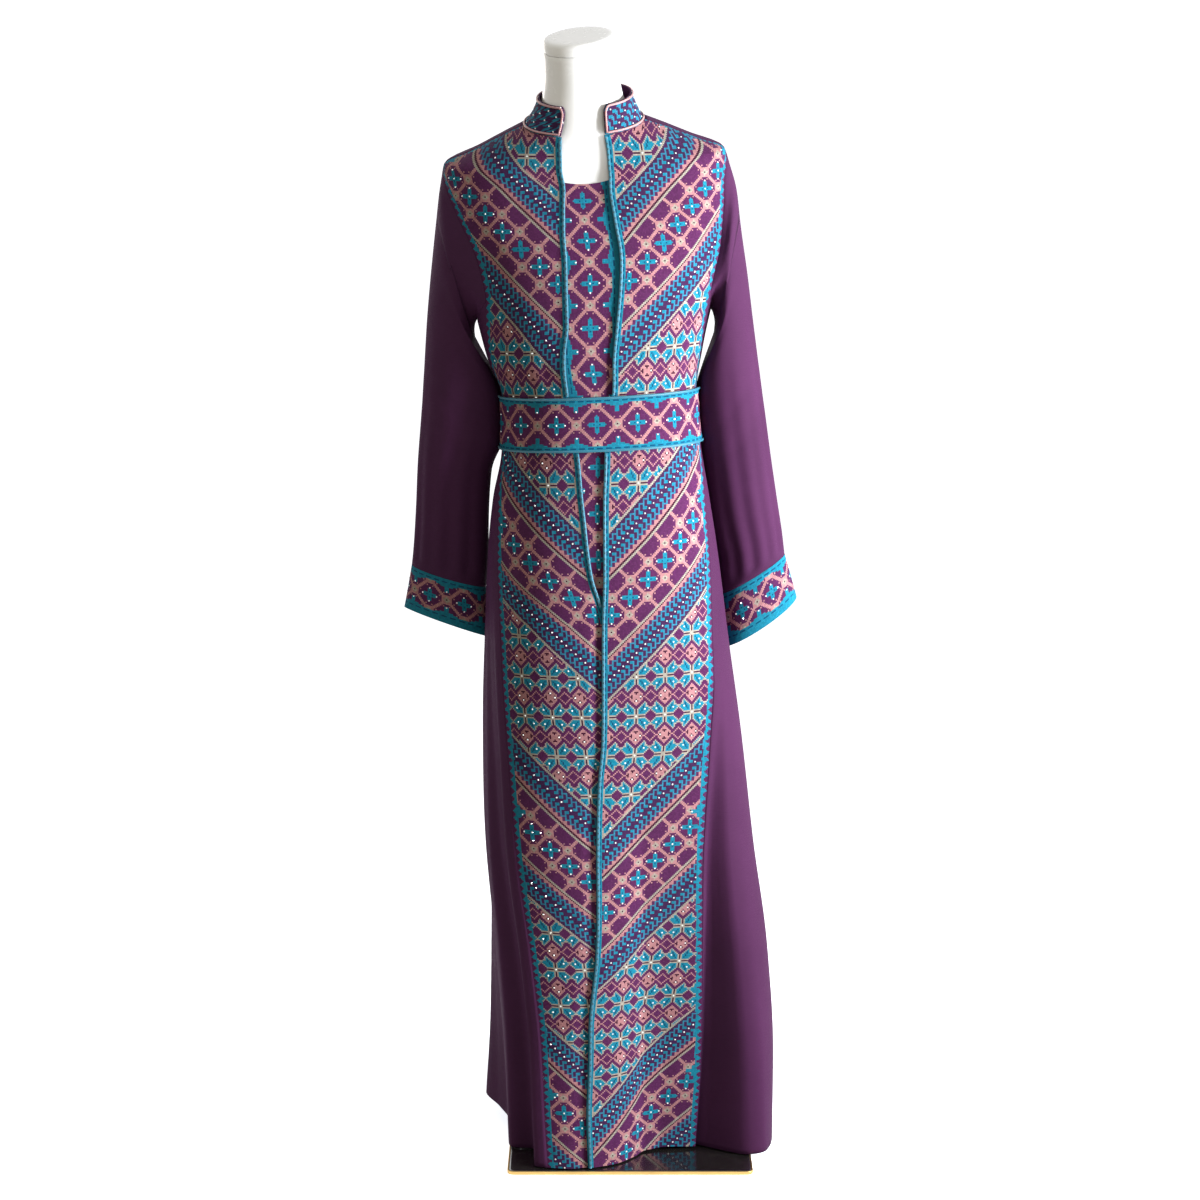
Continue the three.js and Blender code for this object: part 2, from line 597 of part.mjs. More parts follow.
function circle(x, y, z, r, count = 18) {
  return shares(count).slice(0, -1).map((s) => (
    new THREE.Vector3(x + r * Math.cos(rad(360 * s)), y + r * Math.sin(rad(360 * s)), z)));
}

function stand() {
  const top = FORM_FOOT_Z - SEAM;
  const foot = PLATE.z + SEAM;
  const row = bodyRow(FORM_FOOT_Z);
  const headX = (row[0] + row[1]) / 2;
  const at = (z) => mix(0, headX, (z - foot) / (top - foot));
  const profile = [[foot, 44], [foot + 4, 44], [foot + 7, 41], [foot + 9, 24], [foot + 40, 21],
    [foot + 43, POLE_R], [350, POLE_R], [top - 60, POLE_R], [top - 57, 26], [top, 26]];
  return solid('pole', COLORS.form, profile.map(([z, r]) => circle(at(z), 0, z, r)));
}

function plateOutline(grow) {
  const hx = PLATE.x / 2 + grow;
  const hy = PLATE.y / 2 + grow;
  const r = PLATE.corner + grow;
  const corners = [[1, 1, 0], [-1, 1, 90], [-1, -1, 180], [1, -1, 270]];
  return corners.flatMap(([sx, sy, start]) => shares(4).map((s) => {
    const t = rad(start + 90 * s);
    return [sx * (hx - r) + r * Math.cos(t), sy * (hy - r) + r * Math.sin(t)];
  }));
}

function base() {
  const ringAt = (grow, z) => plateOutline(grow).map(([x, y]) => new THREE.Vector3(x, y, z));
  const inside = -PLATE.edge - SEAM;
  const plate = solid('base_plate', COLORS.plate,
    [ringAt(inside, 0), ringAt(inside, PLATE.z - 0.4), ringAt(inside - 0.4, PLATE.z)]);
  const rows = [0, PLATE.z - 0.6, PLATE.z];
  const rim = wall('base_rim', COLORS.brass, rows.map((z, i) => ringAt(i > 1 ? -0.6 : 0, z)),
    rows.map((z) => ringAt(-PLATE.edge, z)), true);
  return [plate, rim];
}

// ---- assembly -----------------------------------------------------------------------------

const outerR = (z) => edge(z, 'outerR');
const outerL = (z) => edge(z, 'outerL');
const backR = (z) => edge(z, 'backR');
const backL = (z) => edge(z, 'backL');

const group = new THREE.Group();
group.name = 'abaya_on_form';
group.add(
  ...base(), stand(), ...dressForm(),
  ...fronts(), insetFront(), back(),
  gore('side_right', outerR, backR), gore('side_left', outerL, backL),
  sleeve('sleeve_right', SLEEVE_R, outerR, backR, COLS.side_right, -1),
  sleeve('sleeve_left', SLEEVE_L, outerL, backL, COLS.side_left, 1),
  cuff('cuff_right', CUFF_R, -1), cuff('cuff_left', CUFF_L, 1),
  collar(), collarPiping(), ...belts(), ...cords(),
);

export default group;
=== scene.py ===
"""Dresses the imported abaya: embroidered cloth, trims and crystals on a gloss dress form.

Laid out as an add-on: each piece or pair of pieces has its operator, and the panel lists them.
Lengths in the tables are millimetres in the part's own frame. Angles run round the body, with 0 at
the front and +90 at +X.
"""

import math

import bpy
import numpy as np
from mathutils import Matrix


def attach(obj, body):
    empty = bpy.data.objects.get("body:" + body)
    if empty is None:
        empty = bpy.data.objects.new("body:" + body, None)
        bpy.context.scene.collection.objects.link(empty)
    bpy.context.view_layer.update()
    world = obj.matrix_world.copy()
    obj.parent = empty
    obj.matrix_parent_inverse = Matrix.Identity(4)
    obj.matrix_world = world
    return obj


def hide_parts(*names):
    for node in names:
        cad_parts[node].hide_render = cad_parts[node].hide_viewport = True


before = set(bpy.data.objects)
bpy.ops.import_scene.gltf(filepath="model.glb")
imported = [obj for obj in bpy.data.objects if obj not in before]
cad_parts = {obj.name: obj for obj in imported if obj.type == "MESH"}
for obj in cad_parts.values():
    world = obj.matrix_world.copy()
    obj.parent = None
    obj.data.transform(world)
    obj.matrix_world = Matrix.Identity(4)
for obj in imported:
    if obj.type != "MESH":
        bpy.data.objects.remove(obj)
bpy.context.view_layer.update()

bl_info = {
    "name": "Embroidered Abaya",
    "version": (1, 0, 0),
    "blender": (4, 5, 0),
    "location": "View3D > Sidebar > Abaya",
    "description": "Builds an embroidered abaya with its belt on a dress form",
    "category": "Add Mesh",
}

MM = 0.001

# ---- sizes shared by every piece, millimetres -----------------------------------------------

WALL = 1.6
SEAM = 0.3
HEM_Z = 7
TIP_Z = 1423
NECK_Z = 1470
UNDERARM_Z = 1235
UNDERARM_DIP = 34
BELT_Z = (1024, 1100)
BELT_LIFT = (1.3, 3.3)
INSET_Z = (700, 1407)
INSET_SCOOP = 6
INSET_LIFT = (-4.2, -2.6)
INSET_LOW_LIFT = 3.4
LAP_TUCK = 2.7
COLLAR_H = 36
COLLAR_WALL = 2.0
CORD_WIDTH = 4.4
CORD_REPEAT = 8.2
FORM_FOOT_Z = 700
FORM_GAP = 1.5
NECK_TOP = 1568
PLATE = {"x": 350, "y": 340, "z": 5, "corner": 10, "edge": 2.5}
POLE_R = 14
SEAM_REACH = 125                                   # from the body's middle to a panel's edge
HALF_SEAM = math.degrees(SEAM / 2 / SEAM_REACH)    # degrees round the body
BELT_MIDDLE = 1062
ARMHOLE_REACH = 120

# z, left, right, front, back, squareness, lean in x, lean in y
BODY = [
    (7, -217, 209, -166, 168, 2.8, 0, 0),
    (150, -214, 211, -158, 158, 2.7, 0, 0),
    (300, -216, 202, -151, 150, 2.6, 0, 0),
    (450, -220, 180, -143, 143, 2.5, 0.01, 0),
    (610, -215, 160, -135, 136, 2.4, 0.015, 0),
    (740, -209, 141, -130, 130, 2.3, 0.02, 0),
    (870, -203, 124, -124, 124, 2.25, 0.025, 0),
    (950, -195, 111, -116, 116, 2.2, 0.03, 0),
    (1020, -182, 99, -106, 103, 2.2, 0.04, 0),
    (1060, -180.5, 94.5, -103, 98, 2.2, 0.045, 0),
    (1100, -181.5, 93, -106, 98, 2.2, 0.045, 0),
    (1150, -200, 100, -115, 100, 2.2, 0.045, 0),
    (1200, -213, 110, -122, 103, 2.2, 0.045, 0),
    (1250, -226, 123, -125, 105, 2.2, 0.045, 0.02),
    (1300, -241, 134, -121, 104, 2.2, 0.045, 0.06),
    (1350, -256, 137, -110, 98, 2.2, 0.045, 0.12),
    (1390, -260, 134, -98, 90, 2.15, 0.05, 0.2),
    (1423, -259, 129, -88, 80, 2.1, 0.058, 0.27),
    (1440, -219, 89, -81, 71, 2.1, 0.058, 0.31),
    (1456, -182, 52, -74, 64, 2.1, 0.055, 0.335),
    (1470, -148, 17, -67, 57, 2.1, 0.05, 0.35),
]

# angle at the hem, reach there, height where the fold starts, raise of the hem
FOLDS = [
    (-180, 181, 930, 10), (-166, 168, 900, 12), (-152, 196, 940, 15), (-140, 206, 930, 19),
    (-129, 190, 900, 23), (-117, 227, 950, 26), (-106, 220, 950, 25), (-95, 190, 660, 20),
    (-84, 174, 640, 12), (-72, 182, 720, 4), (-63, 190, 900, 0), (-55, 166, 900, 0),
    (-47, 168, 880, 0), (-40, 204, 860, 0), (-35, 197, 860, 0), (-27, 186, 830, 0),
    (-19, 173, 800, 0), (-12, 160, 780, 0), (-5, 146.5, 780, 0), (5, 123.5, 775, 0),
    (14, 107, 770, 1), (24, 106, 770, 2), (36, 117, 770, 3), (45, 130, 720, 2),
    (48, 134, 700, 1), (51, 125, 680, 0), (56, 207, 700, 0), (63, 226, 760, 0),
    (75, 221, 860, 0), (88, 206, 850, 3), (99, 206, 950, 6), (111, 226, 950, 8),
    (121, 205, 900, 8), (132, 192, 900, 9), (145, 213, 940, 9), (158, 190, 900, 9),
    (170, 164, 880, 9), (180, 181, 930, 10),
]

# z, right outer, right centre, left centre, left outer, right back, left back
EDGES = [
    (7, -35, -13, -19, 48, -126, 124),
    (105, -38.5, -15.3, -21, 47.5, -125, 123),
    (207, -41.3, -14.5, -20.6, 46.7, -124, 122),
    (311, -44.8, -10, -16.1, 47, -123, 121),
    (398, -48, -6.5, -12.8, 48.8, -122, 120),
    (569, -54, -2, -8.4, 54, -120, 119),
    (618, -56, 1, -5.8, 56, -119, 118),
    (700, -59.5, 3, -3.8, 60.5, -118, 117),
    (789, -63, 1, -2, 64.5, -117, 116),
    (855, -66, -6.3, 0, 68, -116, 115),
    (940, -71, -10.5, 1.3, 73, -115, 114),
    (1023, -81, -16.4, 2.6, 82, -114, 113),
    (1108, -83, -22.7, 10.2, 83, -113, 112),
    (1160, -76, -20, 13.2, 79.5, -112, 111),
    (1203, -70.5, -16.8, 15.2, 75.5, -111, 110),
    (1246, -66, -17, 16.5, 74.5, -112, 110),
    (1307, -68, -16.9, 18.1, 76, -109, 106),
    (1361, -75, -16.2, 18.6, 79, -103, 101),
    (1395, -82, -15.9, 19.4, 83, -97, 96),
    (1423, -90, -19, 21.8, 90, -90, 90),
    (1470, -90, -26.6, 25.6, 90, -90, 90),
]

# share, outer x, outer z, inner x, inner z, middle y, half depth, drop of the rim in front
SLEEVES = {
    "right": [
        (0.08, -266, 1373, -219, 1184, 2, 60, 0), (0.18, -273, 1316, -217, 1157, 4, 58, 0),
        (0.28, -280, 1256, -195, 1128, 6, 55, 0), (0.37, -286, 1196, -183, 1098, 9, 52, 0),
        (0.46, -291, 1130, -180, 1064, 13, 49, 0), (0.55, -296, 1068, -181, 1029, 17, 47, 0),
        (0.66, -303, 992, -197, 984, 24, 45, 0), (0.76, -307, 930, -202, 922, 33, 43, 0),
        (0.88, -312, 872, -204, 856, 44, 40, 0), (1, -315.5, 843, -208, 811, 51, 38, 0),
    ],
    "left": [
        (0.08, 146, 1380, 118, 1190, 2, 60, 0), (0.18, 154, 1320, 115, 1163, 4, 58, 0),
        (0.28, 163, 1262, 101, 1134, 6, 55, 0), (0.37, 171, 1203, 93, 1104, 9, 52, 0),
        (0.46, 180, 1140, 91, 1068, 13, 49, 0), (0.55, 190, 1073, 95, 1028, 17, 47, 0),
        (0.66, 201, 1000, 102, 972, 24, 45, 0), (0.76, 211, 940, 113, 904, 34, 43, 0),
        (0.88, 220, 888, 127, 846, 45, 40, 0), (1, 224, 858, 131, 800, 51, 38, 0),
    ],
}
CUFFS = {
    "right": [
        (0, -315.6, 842.7, -208.1, 810.7, 51, 38, 0), (0.6, -323, 803, -203, 765, 56, 38, -4),
        (1, -328, 779, -202, 734, 59, 37, -8),
    ],
    "left": [
        (0, 224.2, 857.7, 131.2, 799.7, 51, 38, 0), (0.6, 236, 819, 134, 752, 56, 38, 6),
        (1, 243, 794, 136, 722, 59, 37, 12),
    ],
}

# share, left, right, front, back, lean in x, lean in y
COLLAR = [
    (0, -148, 17, -67, 57, 0.05, 0.35),
    (0.5, -135.5, 7.5, -63, 51, 0.055, 0.35),
    (1, -128, 0.5, -60.5, 46, 0.06, 0.35),
]
COLLAR_FROM, COLLAR_TO = 27, 331.5

# z, sides, front, back
FORM_INSET = [
    (700, 20, 17, 16), (800, 15, 14, 14), (950, 9, 9, 9), (1060, 6.5, 7.5, 6.5), (1150, 8, 9, 8),
    (1200, 13, 9, 8), (1300, 26, 8, 7), (1350, 24, 7, 6), (1390, 11, 5, 5),
]
# z, left, right, front, back, lean in x, lean in y
NECK = [
    (1472, -138, 7, -60, 50, 0.055, 0.35), (1482, -129, -2, -57, 42, 0.06, 0.35),
    (1494, -124.5, -8.5, -57, 38, 0.07, 0.345), (1512, -122, -14, -58, 35.5, 0.08, 0.34),
    (1536, -120, -18, -61, 32, 0.09, 0.335), (1568, -121, -22, -64, 29, 0.095, 0.33),
]
# height above the neck, share of its reach
CAP_PROFILE = [
    (0.3, 0.965), (0.9, 0.992), (1.8, 1.0), (6, 1.006), (11, 1.008), (13, 1.0), (14.6, 0.98),
    (15.7, 0.95), (16.4, 0.9), (16.7, 0.8), (16.8, 0.5), (16.8, 0.02),
]


class Curve:
    """Monotone cubic through one column of a table whose first column is the key."""

    def __init__(self, table, column):
        self.x = np.array([row[0] for row in table], float)
        self.y = np.array([row[column] for row in table], float)
        step = np.diff(self.x)
        slope = np.diff(self.y) / step
        a, b, before, after = slope[:-1], slope[1:], step[:-1], step[1:]
        same = a * b > 0
        inner = np.zeros(len(a))
        inner[same] = (3 * (before + after))[same] / (
            (2 * after + before)[same] / a[same] + (after + 2 * before)[same] / b[same]
        )
        self.slope = np.concatenate([slope[:1], inner, slope[-1:]])

    def __call__(self, key):
        key = np.clip(key, self.x[0], self.x[-1])
        i = np.clip(np.searchsorted(self.x, key, "right") - 1, 0, len(self.x) - 2)
        h = self.x[i + 1] - self.x[i]
        t = (key - self.x[i]) / h
        low = (2 * t**3 - 3 * t**2 + 1) * self.y[i] + (t**3 - 2 * t**2 + t) * h * self.slope[i]
        high = (3 * t**2 - 2 * t**3) * self.y[i + 1] + (t**3 - t**2) * h * self.slope[i + 1]
        return low + high


def columns(table):
    return [Curve(table, c) for c in range(1, len(table[0]))]


BODY_CURVES = columns(BODY)
FOLD_REACH, FOLD_START, FOLD_RAISE = columns(FOLDS)
EDGE = dict(zip(("outerR", "centreR", "centreL", "outerL", "backR", "backL"), columns(EDGES)))
COLLAR_CURVES = columns(COLLAR)
INSET_CURVES = columns(FORM_INSET)
NECK_CURVES = columns(NECK)
SIDE = {"right": ("outerR", "backR"), "left": ("outerL", "backL")}


def smooth(t):
    t = np.clip(t, 0, 1)
    return t * t * (3 - 2 * t)


def mix(a, b, t):
    return a + (b - a) * t


# ---- the garment's surface ------------------------------------------------------------------


def oval(z, deg, row, extra=0.0):
    """Point of an oval ring at an angle, pushed out by extra and sheared by its lean."""
    left, right, front, back, power, lean_x, lean_y = row
    s, c = np.sin(np.radians(deg)), np.cos(np.radians(deg))
    w, d = (right - left) / 2, (back - front) / 2
    r = (np.abs(s / w) ** power + np.abs(c / d) ** power) ** (-1 / power) + extra
    x, y = r * s, -r * c
    middle_x, middle_y = (left + right) / 2, (front + back) / 2
    parts = np.broadcast_arrays(middle_x + x, middle_y + y, z + lean_x * x + lean_y * y)
    return np.stack(parts, -1)


HEM_ROW = [float(curve(HEM_Z)) for curve in BODY_CURVES]
HEM_STOPS = [-180.0] + [float(EDGE[n](HEM_Z)) for n in ("outerR", "centreL", "outerL")] + [180.0]


def hem_reach(deg):
    """How far the plain hem reaches from its middle, before any fold."""
    p = oval(0, deg, HEM_ROW)
    middle = ((HEM_ROW[0] + HEM_ROW[1]) / 2, (HEM_ROW[2] + HEM_ROW[3]) / 2)
    return np.hypot(p[..., 0] - middle[0], p[..., 1] - middle[1])


def hem_angle(z, deg):
    """Angle that a place on a ring has at the hem, so folds follow the panel edges down."""
    here = [-180.0, EDGE["outerR"](z), EDGE["centreL"](z), EDGE["outerL"](z), 180.0]
    out = np.array(deg, float)
    for i in range(4):
        inside = (deg >= here[i]) & (deg <= here[i + 1])
        share = (deg - here[i]) / (here[i + 1] - here[i])
        out = np.where(inside, mix(HEM_STOPS[i], HEM_STOPS[i + 1], share), out)
    return out


FOLD_TOP = 960        # no fold starts above it
FOLD_GROWTH = 1.2
RAISE_TALL = 300      # the hem's raise fades out this high


def skin(z, deg, folded=True):
    """Outer surface of the garment without thickness."""
    z, deg = np.broadcast_arrays(np.asarray(z, float), np.asarray(deg, float))
    row = [curve(z) for curve in BODY_CURVES]
    extra = lift = np.zeros(z.shape)
    if folded:
        low = hem_angle(z, np.where(deg > 180, deg - 360, deg))
        start = FOLD_START(low)
        grown = np.clip((start - z) / (start - HEM_Z), 0, 1) ** FOLD_GROWTH
        extra = (FOLD_REACH(low) - hem_reach(low)) * grown * (z < FOLD_TOP)
        lift = FOLD_RAISE(low) * np.clip(1 - z / RAISE_TALL, 0, 1) ** 2
    return oval(z + lift, deg, row, extra)


def body(z, deg, lift=0.0, folded=True):
    """Garment surface moved out by lift along its normal."""
    inside = np.clip(z, HEM_Z + 1, NECK_Z - 1)
    along = skin(inside, deg + 1.5, folded) - skin(inside, deg - 1.5, folded)
    up = skin(inside + 1, deg, folded) - skin(inside - 1, deg, folded)
    normal = np.cross(along, up)
    normal /= np.linalg.norm(normal, axis=-1, keepdims=True)
    return skin(z, deg, folded) + normal * np.asarray(lift, float)[..., None]


LAP_FROM = {"z": 865, "fade": 60, "deg": -8, "turn": 6.5}


def under_lift(z, deg):
    """How deep the wearer's right front is tucked behind the left one below where they meet."""
    near = smooth((deg - EDGE["centreL"](z) - LAP_FROM["deg"]) / LAP_FROM["turn"])
    return -LAP_TUCK * near * smooth((LAP_FROM["z"] - z) / LAP_FROM["fade"])


# Soft creases pressed in by the belt and the arms:
# centre z, half height, centre angle, half angle, depth
CREASES = [
    (1128, 22, -58, 9, -1.6), (1135, 30, -36, 6, -1.2), (1132, 26, 47, 8, -1.5),
    (1130, 24, 66, 7, -1.7), (1140, 34, 27, 6, -1.1), (1128, 24, 150, 9, -1.8),
    (1130, 28, 176, 8, -1.5), (1128, 24, 205, 9, -1.7), (1130, 26, 232, 8, -1.6),
    (985, 30, -52, 7, -1.5), (975, 36, 40, 7, -1.4), (985, 32, 66, 6, -1.5),
    (980, 36, 158, 8, -1.8), (976, 40, 190, 9, -1.9), (982, 34, 218, 8, -1.7),
    (1285, 46, -60, 7, -1.8), (1290, 44, 68, 7, -1.6), (1310, 60, 128, 9, -1.9),
    (1305, 60, 232, 9, -1.9), (1345, 40, -44, 8, -1.0), (1350, 42, 50, 8, -1.0),
]


def creases(z, deg):
    """Depth of the soft creases at a place, none of them under the belt or at the neck."""
    turn = np.where(deg < -95, deg + 360, deg)
    depth = np.zeros(np.broadcast(z, deg).shape)
    for middle, tall, angle, wide, deep in CREASES:
        far = ((z - middle) / tall) ** 2 + ((turn - angle) / wide) ** 2
        depth = depth + deep * np.exp(-1.4 * far)
    belt_half, belt_fade, neck_z, neck_fade = 42, 22, 1452, 20
    off_belt = smooth((np.abs(z - BELT_MIDDLE) - belt_half) / belt_fade)
    below_neck = smooth((neck_z - z) / neck_fade)
    return depth * (off_belt * below_neck)


# ---- meshes ---------------------------------------------------------------------------------


def mesh_object(name, points, faces, uv=None, colours=None):
    """A mesh from millimetre points and faces; uv is per point, colours are per face."""
    faces = np.asarray(faces)
    used, flat = np.unique(faces, return_inverse=True)
    flat = flat.reshape(-1)
    sides = faces.shape[1]
    mesh = bpy.data.meshes.new(name)
    mesh.vertices.add(len(used))
    mesh.vertices.foreach_set("co", (np.asarray(points)[used] * MM).astype(np.float32).ravel())
    mesh.loops.add(len(flat))
    mesh.loops.foreach_set("vertex_index", flat.astype(np.int32))
    mesh.polygons.add(len(faces))
    mesh.polygons.foreach_set("loop_start", np.arange(0, len(flat), sides, dtype=np.int32))
    mesh.polygons.foreach_set("use_smooth", np.ones(len(faces), bool))
    mesh.update(calc_edges=True)
    if uv is not None:
        layer = mesh.uv_layers.new(name="threads")
        layer.data.foreach_set("uv", np.asarray(uv, np.float32)[used][flat].ravel())
    if colours is not None:
        layer = mesh.color_attributes.new("thread", "FLOAT_COLOR", "CORNER")
        rgba = np.concatenate([colours, np.ones((len(colours), 1))], 1).astype(np.float32)
        layer.data.foreach_set("color", np.repeat(rgba, sides, axis=0).ravel())
    piece = bpy.data.objects.new("visual_" + name, mesh)
    bpy.context.scene.collection.objects.link(piece)
    return piece


def numbered(rows, cols):
    """Point numbers of a grid, row after row."""
    return np.arange(rows * cols).reshape(rows, cols)


def quads(index, loop=False):
    """Faces of a grid of point numbers, rows upward and columns counter-clockwise."""
    following = np.roll(index, -1, axis=1) if loop else index[:, 1:]
    here = index if loop else index[:, :-1]
    corners = [here[:-1], following[:-1], following[1:], here[1:]]
    return np.stack([c.ravel() for c in corners], 1)


def shell(name, outer, inner, uv, loop=False):
    """Closed wall between two grids of points."""
    out = numbered(*outer.shape[:2])
    into = out + out.size
    faces = [quads(out, loop), quads(into, loop)[:, ::-1]]
    for here, there in ((into[0], out[0]), (out[-1], into[-1])):
        faces.append(quads(np.stack([here, there]), loop))
    if not loop:
        faces.append(quads(np.stack([out[:, 0], into[:, 0]])))
        faces.append(quads(np.stack([into[:, -1], out[:, -1]])))
    points = np.concatenate([outer.reshape(-1, 3), inner.reshape(-1, 3)])
    flat_uv = np.asarray(uv).reshape(-1, 2)
    return mesh_object(name, points, np.concatenate(faces), np.concatenate([flat_uv, flat_uv]))


def rings_object(name, rings):
    """Closed solid through rings with an even number of points, its ends closed by fans."""
    rings = np.asarray(rings)
    index = numbered(*rings.shape[:2])
    points = [rings.reshape(-1, 3), rings[0].mean(0)[None], rings[-1].mean(0)[None]]
    low, high = index.size, index.size + 1
    faces = [quads(index, True)]
    sides = index.shape[1]
    even = np.arange(0, sides, 2)
    for ring, centre, step in ((index[0], low, -1), (index[-1], high, 1)):
        fan = [np.full(len(even), centre)] + [ring[(even + k * step) % sides] for k in range(3)]
        faces.append(np.stack(fan, 1))
    return mesh_object(name, np.concatenate(points), np.concatenate(faces))


def arc_lengths(points):
    """Distance along each row of points from its first one."""
    steps = np.linalg.norm(np.diff(points, axis=1), axis=2)
    return np.concatenate([np.zeros((len(points), 1)), np.cumsum(steps, axis=1)], axis=1)


# ---- stitch charts --------------------------------------------------------------------------
# Threads are numbers; a chart takes stitch columns and rows and gives the thread of each stitch.

PURPLE, WINE, TEAL, DEEP, PINK, CREAM, NET, NIGHT = range(8)
THREADS = {
    PURPLE: (0.092, 0.020, 0.082), WINE: (0.050, 0.008, 0.026), TEAL: (0.010, 0.225, 0.340),
    DEEP: (0.004, 0.075, 0.160), PINK: (0.450, 0.215, 0.225), CREAM: (0.370, 0.340, 0.285),
    NET: (0.030, 0.215, 0.350), NIGHT: (0.050, 0.018, 0.070),
}

REPEAT = 215          # rows from one chevron to the next
NET_ROWS = 28         # rows of net, with the pink teeth beside it
LATTICE_ROWS = 52
LATTICE_PITCH = 24    # columns from one diamond to the next
STAR_PITCH = 20       # columns from one star to the next
STAR_ROWS = 28        # rows from one star to the next
LINE = 2              # rows of a plain line between two bands
FIRST_STAR = 126      # row of a star's middle within the repeat
STAR_COLUMN = 3       # column of a star's middle
BORDER_TOOTH = 5.5    # rows from one tooth of the side border to the next
GEM = 16              # added to the thread of a stitch that carries a crystal

# A quarter of one star, from its middle outwards and down to the row of pink diamonds.
# Capitals carry a crystal.
STAR_QUARTER = (
    "Ccwwwwppppp",
    "cccccccpppp",
    "wctttttcppp",
    "wctdttttcpp",
    "wcttdttttcp",
    "wcttdtTtttc",
    "..cttdtttcc",
    "...ctdtcc..",
    "k...cttc...",
    "kk...ctc...",
    "kkk...c...k",
    "Whkk.....kp",
    "hkkkk...kpp",
    "kkkhk..kppp",
    "kkkWhkkpppp",
)
STAR_LETTERS = {
    ".": PURPLE, "p": PURPLE, "c": CREAM, "t": TEAL, "d": DEEP, "k": PINK, "w": WINE, "h": WINE,
}


def saw(value, period):
    """Distance from the nearest whole period, from 0 to half the period."""
    return np.abs((value + period / 2) % period - period / 2)


def layered(shape, start, layers):
    """Paints each (mask, thread) over the last one."""
    out = np.full(shape, start)
    for mask, thread in layers:
        out = np.where(mask, thread, out)
    return out


def sparkling(threads, mask):
    """The same threads, with a crystal on every stitch of the mask."""
    return np.where(mask, threads % GEM + GEM, threads)


NET_STEP = 3          # columns of one stair of the net
NET_EDGES = (2, 21)   # rows of its two blue edges
NET_POSTS = 6         # rows that its uprights stand off either edge
TEETH_FROM = 25       # row where the pink is whole, and its teeth stand three rows nearer


def net_chart(across, column):
    """Stepped blue net with crystals, then pink teeth; across runs from 0 to NET_ROWS."""
    first, last = NET_EDGES
    u = column % NET_STEP
    v = across - u
    lines = (v == first) | (u == 0) & (v >= first) & (v <= first + NET_POSTS)
    lines |= (v == last) | (u == 2) & (v >= last - NET_POSTS) & (v <= last)
    dots = (u >= 1) & (v >= 7) & (v <= 8) | (u <= 1) & (v >= 15) & (v <= 16)
    teeth = (v >= TEETH_FROM) | (u == 2) & (v >= TEETH_FROM - 3)
    layers = [(v < last, NIGHT), (dots, TEAL), (lines, NET), (teeth, PINK)]
    return sparkling(layered(across.shape, PURPLE, layers), (u == 1) & (v == 11))


def knot(dx, dy):
    """Rounded knot: ring of pink round cream with a dark heart."""
    far, both = np.maximum(np.abs(dx), np.abs(dy)), np.abs(dx) + np.abs(dy)
    return [((far <= 3) & (both <= 4.6), PINK), (both <= 2, CREAM), (far < 0.6, WINE)]


def knot_ticks(dx, dy):
    """Single pink stitches in pairs round a knot."""
    far, near = np.maximum(np.abs(dx), np.abs(dy)), np.minimum(np.abs(dx), np.abs(dy))
    return (np.abs(far - 5) < 0.6) & (np.abs(near - 2) < 0.6)


def cross(dx, dy, arm):
    """Teal cross with pointed arms and a crystal at its heart and on every tip."""
    ax, ay = np.abs(dx), np.abs(dy)
    length, side = np.maximum(ax, ay), np.minimum(ax, ay)
    shape = (side <= 1) & (length <= arm - 1) | (side < 0.6) & (length <= arm)
    tips = (side < 0.6) & (np.abs(length - arm) < 0.6) | (length < 0.6)
    return [(shape, TEAL), ((side < 0.6) & (np.abs(length - 2) < 0.6), DEEP), (tips, TEAL + GEM)]


def lattice_chart(across, along):
    """Diagonal lattice: a middle row of crosses in diamonds, with plain cells on both sides."""
    half = LATTICE_PITCH // 2
    off = across - LATTICE_ROWS // 2
    signed = (along + half) % LATTICE_PITCH - half
    dx, dy = (off + signed) / 2, (off - signed) / 2        # from the cross, along the stitches
    over, back = np.abs(off) - half, half - np.abs(signed)
    kx, ky = (over + back) / 2, (over - back) / 2          # from the knot, likewise
    lines = (np.abs(over) < 1.3) | (back < 1.3)
    layers = [(knot_ticks(kx, ky), PINK), (lines, PINK)] + cross(dx, dy, 6) + knot(kx, ky)
    return layered(across.shape, PURPLE, layers)


def star_chart(column, row):
    """Rows of eight-pointed stars and of pink diamonds, mirrored from STAR_QUARTER."""
    x = np.abs((column - STAR_COLUMN + STAR_PITCH // 2) % STAR_PITCH - STAR_PITCH // 2)
    y = np.abs((row - FIRST_STAR + STAR_ROWS // 2) % STAR_ROWS - STAR_ROWS // 2)
    threads = np.array([[STAR_LETTERS[c.lower()] for c in line] for line in STAR_QUARTER])
    gems = np.array([[c.isupper() for c in line] for line in STAR_QUARTER])
    empty = (threads[y, x] == WINE) & ((column * 3 + row * 5) % 7 > 3)
    return sparkling(threads[y, x], gems[y, x] & ~empty)


